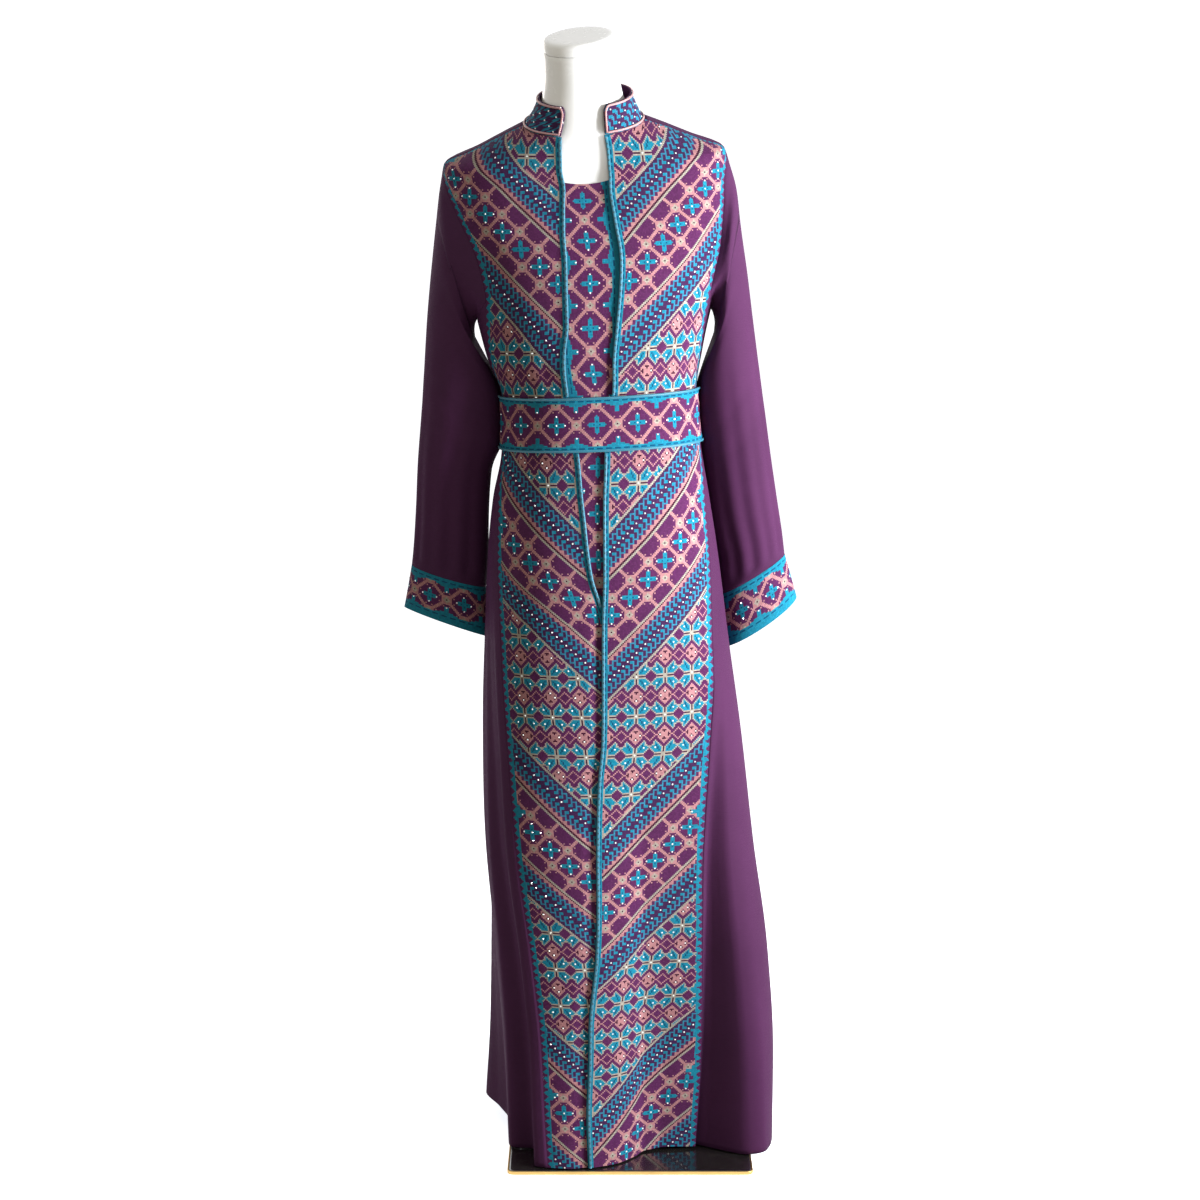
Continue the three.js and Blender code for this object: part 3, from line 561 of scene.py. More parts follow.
def chevron_chart(column, row, from_outer):
    """Whole front panel; column counts from the centre edge, from_outer from the side seam."""
    phase = (column + row) % REPEAT
    upper_net = LINE
    lattice = upper_net + NET_ROWS + 2 * LINE
    lower_net = lattice + LATTICE_ROWS + LINE + 1
    stars = lower_net + NET_ROWS + LINE
    bands = [
        (phase < upper_net, CREAM),
        (phase >= upper_net, net_chart(phase - upper_net, column)),
        (phase >= lattice - 2 * LINE, WINE),
        (phase >= lattice - LINE, CREAM),
        (phase >= lattice, lattice_chart(phase - lattice, 2 * column - phase)),
        (phase >= lower_net - LINE - 1, CREAM),
        (phase >= lower_net - 1, WINE),
        (phase >= lower_net, net_chart(NET_ROWS - 1 - (phase - lower_net), -column)),
        (phase >= stars - LINE, CREAM),
        (phase >= stars, star_chart(column, row % REPEAT)),
    ]
    # Where the lattice's middle meets the side border, half a cross stands on it.
    up = np.abs((phase + from_outer) % REPEAT - lattice - LATTICE_ROWS / 2)
    half_cross = (up <= 1.4) & (from_outer < 10.5) | (up <= 4.4) & (from_outer < 6.4)
    border = [
        (half_cross, TEAL),
        ((up < 0.6) & (from_outer > 9.4) & (from_outer < 10.5), TEAL + GEM),
        (from_outer < 4.5, TEAL),
        (from_outer < 3.4 - 6.8 * saw(row, BORDER_TOOTH) / BORDER_TOOTH, PURPLE),
    ]
    dash = row % 5 < 2.5
    edge = [(column < 4, TEAL), ((column >= 2) & (column < 3) & dash, DEEP)]
    return layered(column.shape, PURPLE, bands + border + edge)


def chain_chart(across, along, half, reach):
    """Chain of diamonds with crosses between teal borders; across runs from -half to half."""
    pitch = 2 * reach
    a = np.abs(across)
    signed = (along + reach) % pitch - reach
    q = np.abs(signed)
    beside, line, border = reach - q, a + q - reach, half - a
    feet = (border < 9.5) & (beside <= 1.3) | (border < 6) & (beside <= 4.3)
    feet |= (border < 4.6) & (beside <= 7.4)
    ticks = knot_ticks(a, beside) | knot_ticks(reach - a, q)
    layers = [(ticks, PINK), (np.abs(line) < 1.4, PINK)]
    layers += cross(across, signed, reach // 2 - 1) + knot(a, beside) + knot(reach - a, q)
    layers += [(feet, TEAL), ((np.abs(border - 9) < 0.6) & (beside < 0.6), TEAL + GEM)]
    layers += [(border < 3.4, TEAL), ((border > 1.2) & (border < 2.3) & (along % 6 < 3.4), DEEP)]
    return layered(across.shape, PURPLE, layers)


def worn(column, row):
    """Stitches whose crystal has come off, about one in six."""
    return (column * 7 + row * 13 + (column * row) % 5) % 6 == 0


# ---- stitched cloth -------------------------------------------------------------------------


GEM_SIDES = 6
GEM_TABLE = 0.55      # flat top, share of the radius
GEM_RISE = 0.62       # height, share of the radius


def gem_cluster(name, points, normals, radius):
    """Faceted crystals at the points, each standing along its normal."""
    side = np.cross(normals, np.array([0.13, 0.21, 1.0]))
    side /= np.linalg.norm(side, axis=1, keepdims=True)
    over = np.cross(normals, side)
    turns = np.arange(GEM_SIDES) * 2 * math.pi / GEM_SIDES
    spokes = [radius * (side * math.cos(t) + over * math.sin(t)) for t in turns]
    rim = [points + spoke for spoke in spokes]
    table = [points + GEM_TABLE * spoke + normals * radius * GEM_RISE for spoke in spokes]
    cloud = np.stack(rim + table, 1)
    base = (np.arange(len(points)) * 2 * GEM_SIDES)[:, None]
    faces = []
    for k in range(GEM_SIDES):
        after = (k + 1) % GEM_SIDES
        faces.append(base + [k, after, GEM_SIDES + after, GEM_SIDES + k])
    faces += [base + [6, 7, 8, 9], base + [6, 9, 10, 11]]
    piece = mesh_object(name, cloud.reshape(-1, 3), np.concatenate(faces))
    piece.data.polygons.foreach_set("use_smooth", np.zeros(len(piece.data.polygons), bool))
    return piece


BACK_STEP = (5, 4)             # stitches in one cell of the wrong side, along and across
GEM_LIFT = 0.1
DYE_SEED = 3
DYE_SPREAD = (0.84, 1.14)      # how much one stitch is darker or lighter than its thread
WRONG_SIDE = np.array(THREADS[PURPLE]) * 0.8


def joined(grids):
    """One mesh's points, uvs, faces and face colours from those of several grids."""
    points, uvs, faces, colours = [], [], [], []
    count = 0
    for part, part_uv, part_faces, part_colours in grids:
        points.append(part.reshape(-1, 3))
        uvs.append(part_uv.reshape(-1, 2))
        faces.append(part_faces + count)
        colours.append(part_colours)
        count += len(points[-1])
    return [np.concatenate(parts) for parts in (points, uvs, faces, colours)]


class StitchedCloth:
    """Cloth whose outer face is a grid of stitches along given rows.

    z and deg are the places of dense points along each row, place turns them and a lift into
    points, and start is how far along the row its first point lies in the chart. Rows that run all
    round hold the same number of stitches each, given as repeats.
    """

    def __init__(self, name, z, deg, place, start, stitch, wall, rows, repeats=0):
        self.name, self.place, self.wall, self.loop = name, place, wall, repeats > 0
        self.rows = np.asarray(rows)
        points = place(z, deg, np.zeros(z.shape))
        self.arc = arc_lengths(points) + np.asarray(start, float)[:, None]
        if repeats:
            self.arc = self.arc / self.arc[:, -1:] * repeats * stitch - repeats * stitch / 2
        self.z, self.deg = z, deg
        self.stitch = stitch
        low = math.floor(self.arc[:, 0].min() / stitch)
        high = math.ceil(self.arc[:, -1].max() / stitch)
        self.ticks = np.arange(low, high + 1)

    def grid(self, row_step=1, col_step=1, lift=0.0):
        """Every so many rows and columns: points, distances along the rows, column numbers."""
        picks = np.unique(np.append(np.arange(0, len(self.z), row_step), len(self.z) - 1))
        ticks = np.unique(np.append(self.ticks[::col_step], self.ticks[-1]))
        u = np.empty((len(picks), len(ticks)))
        z, deg = np.empty(u.shape), np.empty(u.shape)
        for k, i in enumerate(picks):
            u[k] = np.clip(ticks * self.stitch, self.arc[i, 0], self.arc[i, -1])
            z[k] = np.interp(u[k], self.arc[i], self.z[i])
            deg[k] = np.interp(u[k], self.arc[i], self.deg[i])
        return self.place(z, deg, np.full(u.shape, lift)), u, ticks

    def build(self, chart, gem_radius):
        """The piece and its crystals, coloured by chart(column, row, stitches to the row's end)."""
        outer, u, ticks = self.grid()
        outward = self.grid(lift=1.0)[0] - outer
        every = quads(numbered(*u.shape))
        whole = self.wide_enough(u)
        middle = (u[:-1, 1:] + u[:-1, :-1]) / 2
        to_end = (self.arc[:-1, -1][:, None] - middle) / self.stitch
        column, row, to_end = (np.broadcast_to(part, middle.shape).ravel()[whole]
                               for part in (ticks[:-1], self.rows[:-1, None], to_end))
        threads = chart(column, row, to_end)
        gems = (threads >= GEM) & ~worn(column, row)
        palette = np.array([THREADS[k] for k in range(len(THREADS))])
        uneven = np.random.default_rng(DYE_SEED).uniform(*DYE_SPREAD, (len(threads), 1))
        uv = np.stack(np.broadcast_arrays(u / self.stitch, self.rows[:, None]), -1)
        front = (outer, uv, every[whole], palette[threads % GEM] * uneven)
        points, uvs, faces, colours = joined([front, self.wrong_side()] + self.turned_edges())
        a, b, c, d = (outer.reshape(-1, 3)[every[:, k]] for k in range(4))
        looks_inward = np.sum(np.cross(c - a, d - b) * outward[:-1, :-1].reshape(-1, 3)) < 0
        if looks_inward:
            faces = faces[:, ::-1]
        piece = mesh_object(self.name, points, faces, uvs, colours)
        corners = every[whole][gems]
        normals = outward.reshape(-1, 3)[corners].mean(1)
        normals /= np.linalg.norm(normals, axis=1, keepdims=True)
        places = outer.reshape(-1, 3)[corners].mean(1) + normals * GEM_LIFT
        return piece, gem_cluster(self.name + "_crystals", places, normals, gem_radius)

    def wide_enough(self, u):
        """Which cells of a grid have a width, as those past a row's end have none."""
        width = u[:, 1:] - u[:, :-1]
        return ((width[:-1] + width[1:]) > 0.02).ravel()

    def wrong_side(self):
        """Inner face of the cloth, in a coarser grid."""
        inner, u, _ = self.grid(*BACK_STEP, -self.wall)
        faces = quads(numbered(*u.shape))[self.wide_enough(u)][:, ::-1]
        uv = np.stack([u / self.stitch, np.zeros(u.shape)], -1)
        return inner, uv, faces, np.tile(WRONG_SIDE, (len(faces), 1))

    def turned_edges(self):
        """Narrow strips that close the wall all round, from the inner face to the outer."""
        inner, outer = self.grid(lift=-self.wall)[0], self.grid()[0]
        ends = [(inner[0], outer[0], False), (inner[-1], outer[-1], True)]
        if not self.loop:
            ends += [(inner[:, 0], outer[:, 0], True), (inner[:, -1], outer[:, -1], False)]
        strips = []
        for under, over, flip in ends:
            lips = np.stack([under, over])
            faces = quads(numbered(2, len(under)))
            faces = faces[:, ::-1] if flip else faces
            uv = np.zeros(lips.shape[:2] + (2,))
            strips.append((lips, uv, faces, np.tile(WRONG_SIDE, (len(faces), 1))))
        return strips


# ---- materials ------------------------------------------------------------------------------


class Value:
    """A number socket in a shader; arithmetic on it adds Math nodes."""

    def __init__(self, shader, socket):
        self.shader, self.socket = shader, socket

    def _math(self, operation, *others):
        return self.shader.node("ShaderNodeMath", {"operation": operation},
                                dict(enumerate(others)))

    def __add__(self, other):
        return self._math("ADD", self, other)

    __radd__ = __add__

    def __sub__(self, other):
        return self._math("SUBTRACT", self, other)

    def __rsub__(self, other):
        return self._math("SUBTRACT", other, self)

    def __mul__(self, other):
        return self._math("MULTIPLY", self, other)

    __rmul__ = __mul__

    def __pow__(self, other):
        return self._math("POWER", self, other)

    def __abs__(self):
        return self._math("ABSOLUTE", self)

    def __lt__(self, other):
        return self._math("LESS_THAN", self, other)

    def fract(self):
        return self._math("FRACT", self)

    def sine(self):
        return self._math("SINE", self)

    def most(self, other):
        return self._math("MAXIMUM", self, other)

    def least(self, other):
        return self._math("MINIMUM", self, other)


class Shader:
    """One material, its nodes added by a single method."""

    def __init__(self, name):
        self.material = bpy.data.materials.new(name)
        self.material.use_nodes = True
        self.tree = self.material.node_tree
        self.bsdf = self.tree.nodes["Principled BSDF"]

    def node(self, kind, settings=None, inputs=None, output=0):
        made = self.tree.nodes.new(kind)
        for key, value in (settings or {}).items():
            setattr(made, key, value)
        for key, value in (inputs or {}).items():
            self._feed(made.inputs[key], value)
        return Value(self, made.outputs[output])

    def _feed(self, socket, value):
        if isinstance(value, Value):
            self.tree.links.new(value.socket, socket)
        elif hasattr(value, "__len__") and socket.type == "RGBA":
            socket.default_value = (*value[:3], 1.0)
        else:
            socket.default_value = value

    def set(self, **values):
        for key, value in values.items():
            self._feed(self.bsdf.inputs[key.replace("_", " ")], value)

    def uv(self):
        return self.node("ShaderNodeUVMap", {"uv_map": "threads"})

    def place(self):
        return self.node("ShaderNodeTexCoord", output=3)

    def split(self, vector):
        made = self.node("ShaderNodeSeparateXYZ", inputs={0: vector})
        outputs = made.socket.node.outputs
        return [Value(self, outputs[k]) for k in range(3)]

    def scaled(self, vector, scale):
        return self.node("ShaderNodeVectorMath", {"operation": "MULTIPLY"},
                         {0: vector, 1: scale})

    def noise(self, vector, scale, detail=2.0):
        return self.node("ShaderNodeTexNoise",
                         inputs={"Vector": vector, "Scale": scale, "Detail": detail})

    def tint(self, colour, other, factor):
        return self.node("ShaderNodeMix", {"data_type": "RGBA"},
                         {"Factor": factor, 6: colour, 7: other}, output=2)

    def bump(self, height, strength, distance):
        return self.node("ShaderNodeBump", inputs={"Height": height, "Strength": strength,
                                                   "Distance": distance})


def shaded(colour, share):
    return tuple(c * share for c in colour)


def stitched_material(name, settings):
    """Cross stitches over plain weave: two crossed threads in each cell, and hairy gaps between."""
    shader = Shader(name)
    u, v, _ = shader.split(shader.uv())
    x, y = u.fract() - 0.5, v.fract() - 0.5
    over, under = abs(x - y), abs(x + y)
    slope = 2.6
    strand = (1 - over * slope).most(0.0)
    below = (1 - under * slope).most(0.0) * 0.8
    height = strand.most(below) ** 0.6
    gap = (abs(x).most(abs(y)) * 2) ** 6
    thread = shader.node("ShaderNodeAttribute", {"attribute_name": "thread"})
    place = shader.place()
    fluff = shader.noise(place, 900.0, 2.0)
    cloudy = shader.noise(place, 14.0, 3.0)
    shade = shader.tint(thread, (0.02, 0.006, 0.018), gap * 0.45 + cloudy * 0.16)
    normal = shader.bump(height + fluff * 0.25, settings.stitch_relief, 0.0006)
    shader.set(Base_Color=shade, Roughness=0.74 - height * 0.2, Normal=normal)
    shader.set(Sheen_Weight=0.01, Sheen_Roughness=0.4, Specular_IOR_Level=0.03)
    return shader.material


def plain_material(name, colour, settings):
    """Plain-woven matt cloth with soft colour change."""
    shader = Shader(name)
    u, v, _ = shader.split(shader.uv())
    pitch = 2 * math.pi / settings.weave_pitch
    warp, weft = (u * pitch).sine(), (v * pitch).sine()
    height = warp * weft * 0.5 + abs(warp).most(abs(weft)) * 0.5
    place = shader.place()
    slub = shader.noise(shader.scaled(place, (90.0, 90.0, 900.0)), 1.0, 2.0)
    cloudy = shader.noise(place, 9.0, 3.0)
    base = shader.tint(shaded(colour, 0.72), shaded(colour, 1.28), cloudy * 0.7 + slub * 0.3)
    normal = shader.bump(height + slub * 0.6, 0.35, 0.0003)
    shader.set(Base_Color=base, Roughness=0.78 - slub * 0.12, Normal=normal)
    shader.set(Sheen_Weight=0.01, Sheen_Roughness=0.45, Sheen_Tint=(0.75, 0.45, 0.8))
    shader.set(Specular_IOR_Level=0.06)
    return shader.material


def cord_material(name, colour, dash=0.0):
    """Satin braid; u counts repeats along it, v goes round, and dash darkens a running stitch. The
    grooves between the twists get painted shade.
    """
    shader = Shader(name)
    u, v, _ = shader.split(shader.uv())
    twist = ((u * 3 + v * 2).fract() - 0.5) * 2
    ridge = 1 - twist * twist
    stitch = (abs(u.fract() - 0.5) * 2 < 0.36) * (abs(v - 0.25) < 0.1)
    # painted shade in the grooves between the twists, plus the darker running stitch
    shade = (1 - ridge) * 0.45 + stitch * dash
    base = shader.tint(colour, shaded(colour, 0.2), shade.least(1.0))
    normal = shader.bump(ridge - stitch * dash, 0.45, 0.0005)
    shader.set(Base_Color=base, Roughness=0.42 + shade * 0.2, Normal=normal)
    shader.set(Sheen_Weight=0.15, Specular_IOR_Level=0.5)
    return shader.material


def crystal_material():
    """Clear cut crystal on silver foil."""
    shader = Shader("crystal")
    place = shader.place()
    spark = shader.noise(place, 700.0, 0.0)
    base = shader.tint((0.86, 0.93, 0.97), (1.0, 0.99, 0.96), spark)
    shader.set(Base_Color=base, Roughness=0.08 + spark * 0.1, Metallic=0.12)
    shader.set(Coat_Weight=1.0, Coat_Roughness=0.02, Specular_IOR_Level=0.9)
    return shader.material


def form_material(settings):
    """Moulded gloss plastic, faintly uneven, with dust-dulled patches."""
    shader = Shader("form_white")
    place = shader.place()
    wave = shader.noise(place, 7.0, 2.0)
    dust = shader.noise(place, 60.0, 4.0)
    base = shader.tint(settings.form_colour, shaded(settings.form_colour, 0.93), wave)
    normal = shader.bump(wave + dust * 0.03, 0.12, 0.004)
    shader.set(Base_Color=base, Roughness=0.2 + dust * 0.12, Normal=normal)
    shader.set(Coat_Weight=0.6, Coat_Roughness=0.08, Specular_IOR_Level=0.5)
    return shader.material


def base_material():
    """Near-black gloss paint with fine dust and hair scratches."""
    shader = Shader("base_black")
    place = shader.place()
    dust = shader.noise(place, 120.0, 4.0)
    scratch = shader.noise(shader.scaled(place, (8.0, 420.0, 8.0)), 1.0, 2.0)
    base = shader.tint((0.009, 0.008, 0.0075), (0.03, 0.027, 0.024), dust ** 3)
    normal = shader.bump(scratch, 0.06, 0.0004)
    shader.set(Base_Color=base, Roughness=0.14 + dust * 0.14, Normal=normal)
    shader.set(Coat_Weight=0.8, Coat_Roughness=0.05)
    return shader.material


def brass_material():
    """Satin brushed brass."""
    shader = Shader("base_brass")
    place = shader.place()
    brushed = shader.noise(shader.scaled(place, (40.0, 40.0, 2600.0)), 1.0, 2.0)
    tarnish = shader.noise(place, 26.0, 3.0)
    base = shader.tint((0.60, 0.40, 0.14), (0.30, 0.18, 0.07), tarnish ** 2)
    normal = shader.bump(brushed, 0.25, 0.0002)
    shader.set(Base_Color=base, Metallic=1.0, Roughness=0.26 + brushed * 0.16, Normal=normal)
    return shader.material


PAPER_GLOW = (0.877, 0.913, 1.0)


def floor_material(settings):
    """Pale seamless studio paper."""
    shader = Shader("studio_floor")
    grain = shader.noise(shader.place(), 220.0, 3.0)
    base = shader.tint(settings.floor_colour, shaded(settings.floor_colour, 0.985), grain)
    shader.set(Base_Color=base, Roughness=0.9, Specular_IOR_Level=0.15)
    shader.set(Emission_Color=PAPER_GLOW, Emission_Strength=settings.floor_glow)
    return shader.material


MATERIALS = {}


def shared(name, make, *args, **kwargs):
    """One material of each name, made the first time it is asked for."""
    if name not in MATERIALS:
        MATERIALS[name] = make(*args, **kwargs)
    return MATERIALS[name]


def dress(piece, material, slot, *nodes):
    """Gives a piece its material and body, and hides the CAD nodes that it stands for. slot is not
    used.
    """
    piece.data.materials.clear()
    piece.data.materials.append(material)
    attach(piece, "root")
    if nodes:
        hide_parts(*nodes)
    return piece


# ---- properties -----------------------------------------------------------------------------


def colour_property(name, description, default):
    return bpy.props.FloatVectorProperty(name=name, description=description, subtype="COLOR",
                                         size=3, min=0.0, max=1.0, default=default)


def length_property(name, description, least, most, default):
    return bpy.props.FloatProperty(name=name, description=description, unit="LENGTH",
                                   min=least, max=most, default=default)


def power_property(name, description, default):
    return bpy.props.FloatProperty(name=name, description=description, unit="POWER",
                                   min=0.0, default=default)


class ABAYA_PG_cloth(bpy.types.PropertyGroup):
    """Cloth and thread."""

    purple: colour_property("Cloth colour", "Colour of the plain cloth", (0.052, 0.0135, 0.048))
    teal: colour_property("Cord colour", "Colour of the teal cords and pipings",
                          (0.008, 0.155, 0.235))
    pink: colour_property("Piping colour", "Colour of the collar's piping", (0.46, 0.225, 0.23))
    stitch: length_property("Stitch", "Width of one cross stitch", 0.001, 0.004, 0.00205)
    stitch_relief: bpy.props.FloatProperty(
        name="Stitch relief", description="How strongly the stitches stand out", subtype="FACTOR",
        min=0.0, max=1.0, default=0.8)
    weave_pitch: bpy.props.FloatProperty(
        name="Weave pitch", description="Width of one woven thread in millimetres",
        min=0.3, max=3.0, default=0.9)
    gem_radius: length_property("Crystal radius", "Radius of a crystal", 0.0005, 0.003, 0.0013)


class ABAYA_PG_stage(bpy.types.PropertyGroup):
    """Form colour, camera and light."""

    form_colour: colour_property("Form colour", "Colour of the dress form", (0.86, 0.86, 0.855))
    floor_colour: colour_property("Floor colour", "Colour of the studio paper", (0.93, 0.93, 0.93))
    camera_place: bpy.props.FloatVectorProperty(
        name="Camera place", description="Where the camera stands", subtype="TRANSLATION",
        size=3, default=(-0.043, -3.3, 1.40))
    camera_pitch: bpy.props.FloatProperty(
        name="Camera pitch", description="How far the camera looks down", subtype="ANGLE",
        default=math.radians(10.32))
    lens: bpy.props.FloatProperty(
        name="Lens", description="Focal length in millimetres", min=20.0, max=200.0, default=70.35)
    key_power: power_property("Key light", "Power of the main light", 66.0)
    fill_power: power_property("Fill light", "Power of the weaker light", 6.0)
    top_power: power_property("Top light", "Power of the light from above", 14.0)
    back_power: power_property("Back light", "Power of the light from behind", 16.0)
    floor_glow: bpy.props.FloatProperty(
        name="Floor glow", description="How much the studio paper shines by itself",
        min=0.0, default=0.89)
    sky: bpy.props.FloatProperty(
        name="Surround", description="Brightness of the white surround", min=0.0, default=0.36)


def cloth_settings():
    return bpy.context.scene.abaya_cloth


def stage_settings():
    return bpy.context.scene.abaya_stage


def stitched_skin():
    return shared("embroidered", stitched_material, "embroidered_cloth", cloth_settings())


def purple_skin():
    settings = cloth_settings()
    return shared("purple", plain_material, "purple_cloth", tuple(settings.purple), settings)


def stitched_piece(cloth, chart, node):
    """The embroidered piece that stands for a node, and its crystals, both dressed."""
    piece, crystals = cloth.build(chart, cloth_settings().gem_radius / MM)
    dress(piece, stitched_skin(), "embroidered_cloth", node)
    return piece, dress(crystals, shared("crystal", crystal_material), "embroidered_cloth")


def stitch_width():
    return cloth_settings().stitch / MM


# ---- pieces ---------------------------------------------------------------------------------

# heights where the chevron repeat starts at the centre edge, from the top down
REPEAT_STARTS = (1374, 907, 479.5, 75.5)


def row_numbers(height):
    """Chart row of a height at the centre edge; rows count downward."""
    starts = np.array(REPEAT_STARTS[::-1], float)
    counts = np.arange(len(starts))[::-1] * REPEAT
    rows = np.interp(height, starts, counts)
    top, low = REPEAT_STARTS[0], REPEAT_STARTS[-1]
    upper = (top - REPEAT_STARTS[1]) / REPEAT
    lower = (REPEAT_STARTS[-2] - low) / REPEAT
    rows = np.where(height > top, (top - height) / upper, rows)
    return np.where(height < low, counts[0] + (low - height) / lower, rows)


def row_height(z, deg, centre):
    """Height that a stitch row has at the centre edge, for any place on a front."""
    def lean(angle):
        return skin(z, angle, False)[..., 2] - z

    share, start, tall = 0.75, 1300, 140      # rows follow the shoulder's lean above start
    return z + share * smooth((z - start) / tall) * (lean(deg) - lean(centre))


def panel_rows(top):
    """Chart rows of a front from its hem up to its top, and the height of each."""
    rows = np.arange(math.ceil(row_numbers(np.array(top))), int(row_numbers(np.array(HEM_Z))) + 1)
    table = np.linspace(HEM_Z, top, 4000)
    wanted = np.interp(rows, row_numbers(table)[::-1], table[::-1])
    wanted[-1] = HEM_Z
    wanted[0] = top - 0.4
    return rows[::-1], wanted[::-1]


LAP_Z = 789            # below it the right front is narrower, and its chart runs on under the lap
FULL_FRONT = 165       # width of the chart there


def front_panel(side):
    """Stitched front between its centre edge and its side seam, up to the shoulder seam."""
    centre_name, outer_name = ("centreR", "outerR") if side == "right" else ("centreL", "outerL")
    away = -1 if side == "right" else 1

    def edges(z):
        return EDGE[centre_name](z) + HALF_SEAM * away, EDGE[outer_name](z) - HALF_SEAM * away

    def place(z, deg, lift):
        tuck = under_lift(z, deg) if side == "right" else 0.0
        return body(z, deg, lift + tuck + creases(z, deg))

    heights = np.linspace(HEM_Z, NECK_Z, 740)
    share = np.linspace(0, 1, 121)
    centre, outer = edges(heights[:, None])
    field = row_height(heights[:, None], mix(centre, outer, share), centre)
    rows, wanted = panel_rows(float(field[-1].max()))
    z = np.stack([np.interp(wanted, line, heights) for line in field.T], 1)
    begin = np.zeros(len(rows))
    for i, height in enumerate(wanted):
        starts_at_shoulder = np.argmax(field[-1] >= height - 1e-6) > 0
        if starts_at_shoulder:
            begin[i] = np.interp(height, field[-1], share)
            z[i] = np.interp(mix(begin[i], 1.0, share), share, z[i])
    deg = mix(*edges(z), mix(begin[:, None], 1.0, share))
    neck_x = skin(NECK_Z, EDGE[centre_name](NECK_Z))[0]
    starts = np.abs(skin(z[:, 0], deg[:, 0])[:, 0] - neck_x) * (begin > 0)
    if side == "right":
        width = arc_lengths(skin(z, deg))[:, -1]
        starts = starts + np.maximum(0, FULL_FRONT - width) * (wanted < LAP_Z)
    return StitchedCloth("front_" + side, z, deg, place, starts, stitch_width(), WALL, rows)


class ABAYA_OT_fronts(bpy.types.Operator):
    """Two open fronts worked all over in chevrons of net, lattice and stars."""

    bl_idname = "abaya.fronts"
    bl_label = "Fronts"

    area = {"right": 0.205, "left": 0.255}

    def execute(self, context):
        for side, area in self.area.items():
            piece, crystals = stitched_piece(front_panel(side), chevron_chart, "front_" + side)
        return {"FINISHED"}


class ABAYA_OT_inner_front(bpy.types.Operator):
    """Inner panel behind the opening, with one chain of diamonds down its middle."""

    bl_idname = "abaya.inner_front"
    bl_label = "Inner front"

    first_cross = 1381       # height of the top cross
    chain_middle = -2.4      # degrees
    half, reach = 18, 14     # stitches from the middle to the side, and from a cross to a knot
    row_height = 2.25
    under_front = 5          # degrees hidden behind each front
    scoop_tall = 60
    low_z, low_fade = 890, 70      # below it the panel lies deeper, behind the lap

    def execute(self, context):
        count = int((INSET_Z[1] - INSET_Z[0]) / self.row_height)
        heights = np.linspace(*INSET_Z, count)[:, None]
        share = np.linspace(0, 1, 61)[None, :]
        centre_r, centre_l = EDGE["centreR"](heights), EDGE["centreL"](heights)
        start = np.minimum(centre_r, centre_l - 3) - self.under_front
        stop = np.maximum(centre_l, centre_r) + self.under_front
        deg = mix(start, stop, share)
        rise = smooth((heights - (INSET_Z[1] - self.scoop_tall)) / self.scoop_tall)
        z = heights + INSET_SCOOP * (2 * share - 1) ** 2 * rise

        def place(z, deg, lift):
            deep = INSET_LIFT[1] - INSET_LOW_LIFT * smooth((self.low_z - z) / self.low_fade)
            return body(z, deg, lift + deep)

        arc = arc_lengths(place(z, deg, np.zeros(z.shape)))
        middle = np.array([np.interp(self.chain_middle, d, a) for d, a in zip(deg, arc)])
        rows = np.round((self.first_cross - heights[:, 0]) / self.row_height)
        stitch = stitch_width()
        cloth = StitchedCloth("inner_front", z, deg, place, stitch / 2 - middle, stitch,
                              INSET_LIFT[1] - INSET_LIFT[0], rows)

        def chart(column, row, end):
            return chain_chart(column, row, self.half, self.reach)

        piece, crystals = stitched_piece(cloth, chart, "inner_front")
        return {"FINISHED"}


def underarm_dip(share):
    """How far the armhole's lowest stretch sinks, from 0 at its front end to 0 at its rear end."""
    return UNDERARM_DIP * np.sin(np.pi * np.clip(share, 0, 1)) ** 0.8


def plain_panel(name, heights, share, start, stop, fall=None):
    """Closed plain cloth between two edge angles; fall bends the rows down."""
    z, a = np.meshgrid(heights, share, indexing="ij")
    if fall is not None:
        z = fall(z, a)
    deg = mix(start(z), stop(z), a)
    lift = creases(z, deg)
    outer, inner = body(z, deg, lift), body(z, deg, lift - WALL)
    across = arc_lengths(outer)
    uv = np.stack([across, np.broadcast_to(heights[:, None], z.shape)], -1)
    return shell(name, outer, inner, uv)


class ABAYA_OT_back(bpy.types.Operator):
    """Plain back, falling in folds."""

    bl_idname = "abaya.back"
    bl_label = "Back"

    def execute(self, context):
        shoulder = np.linspace(TIP_Z, NECK_Z, 15)[1:]
        heights = np.concatenate([np.linspace(HEM_Z, TIP_Z, 180), shoulder])
        piece = plain_panel("back", heights, np.linspace(0, 1, 97),
                            lambda z: EDGE["backL"](z) + HALF_SEAM,
                            lambda z: 360 + EDGE["backR"](z) - HALF_SEAM)
        dress(piece, purple_skin(), "purple_cloth", "back")
        return {"FINISHED"}


class ABAYA_OT_sides(bpy.types.Operator):
    """Flared side gores, scooped under the arms."""

    bl_idname = "abaya.sides"
    bl_label = "Side gores"

    level = 1120      # rows above it sink into the scoop

    def fall(self, z, a):
        tall = UNDERARM_Z - self.level
        low = self.level + (z - self.level) * (1 - underarm_dip(a) / tall)
        return np.where(z > self.level, low, z)

    def execute(self, context):
        for side, (front, rear) in SIDE.items():
            sign = -1 if side == "right" else 1
            gap = HALF_SEAM * sign
            share = np.linspace(0, 1, 65)[::sign]
            piece = plain_panel("side_" + side, np.linspace(HEM_Z, UNDERARM_Z, 170), share,
                                lambda z, n=front, g=gap: EDGE[n](z) + g,
                                lambda z, n=rear, g=gap: EDGE[n](z) - g, self.fall)
            dress(piece, purple_skin(), "purple_cloth", "side_" + side)
        return {"FINISHED"}


# ---- sleeves and cuffs ----------------------------------------------------------------------

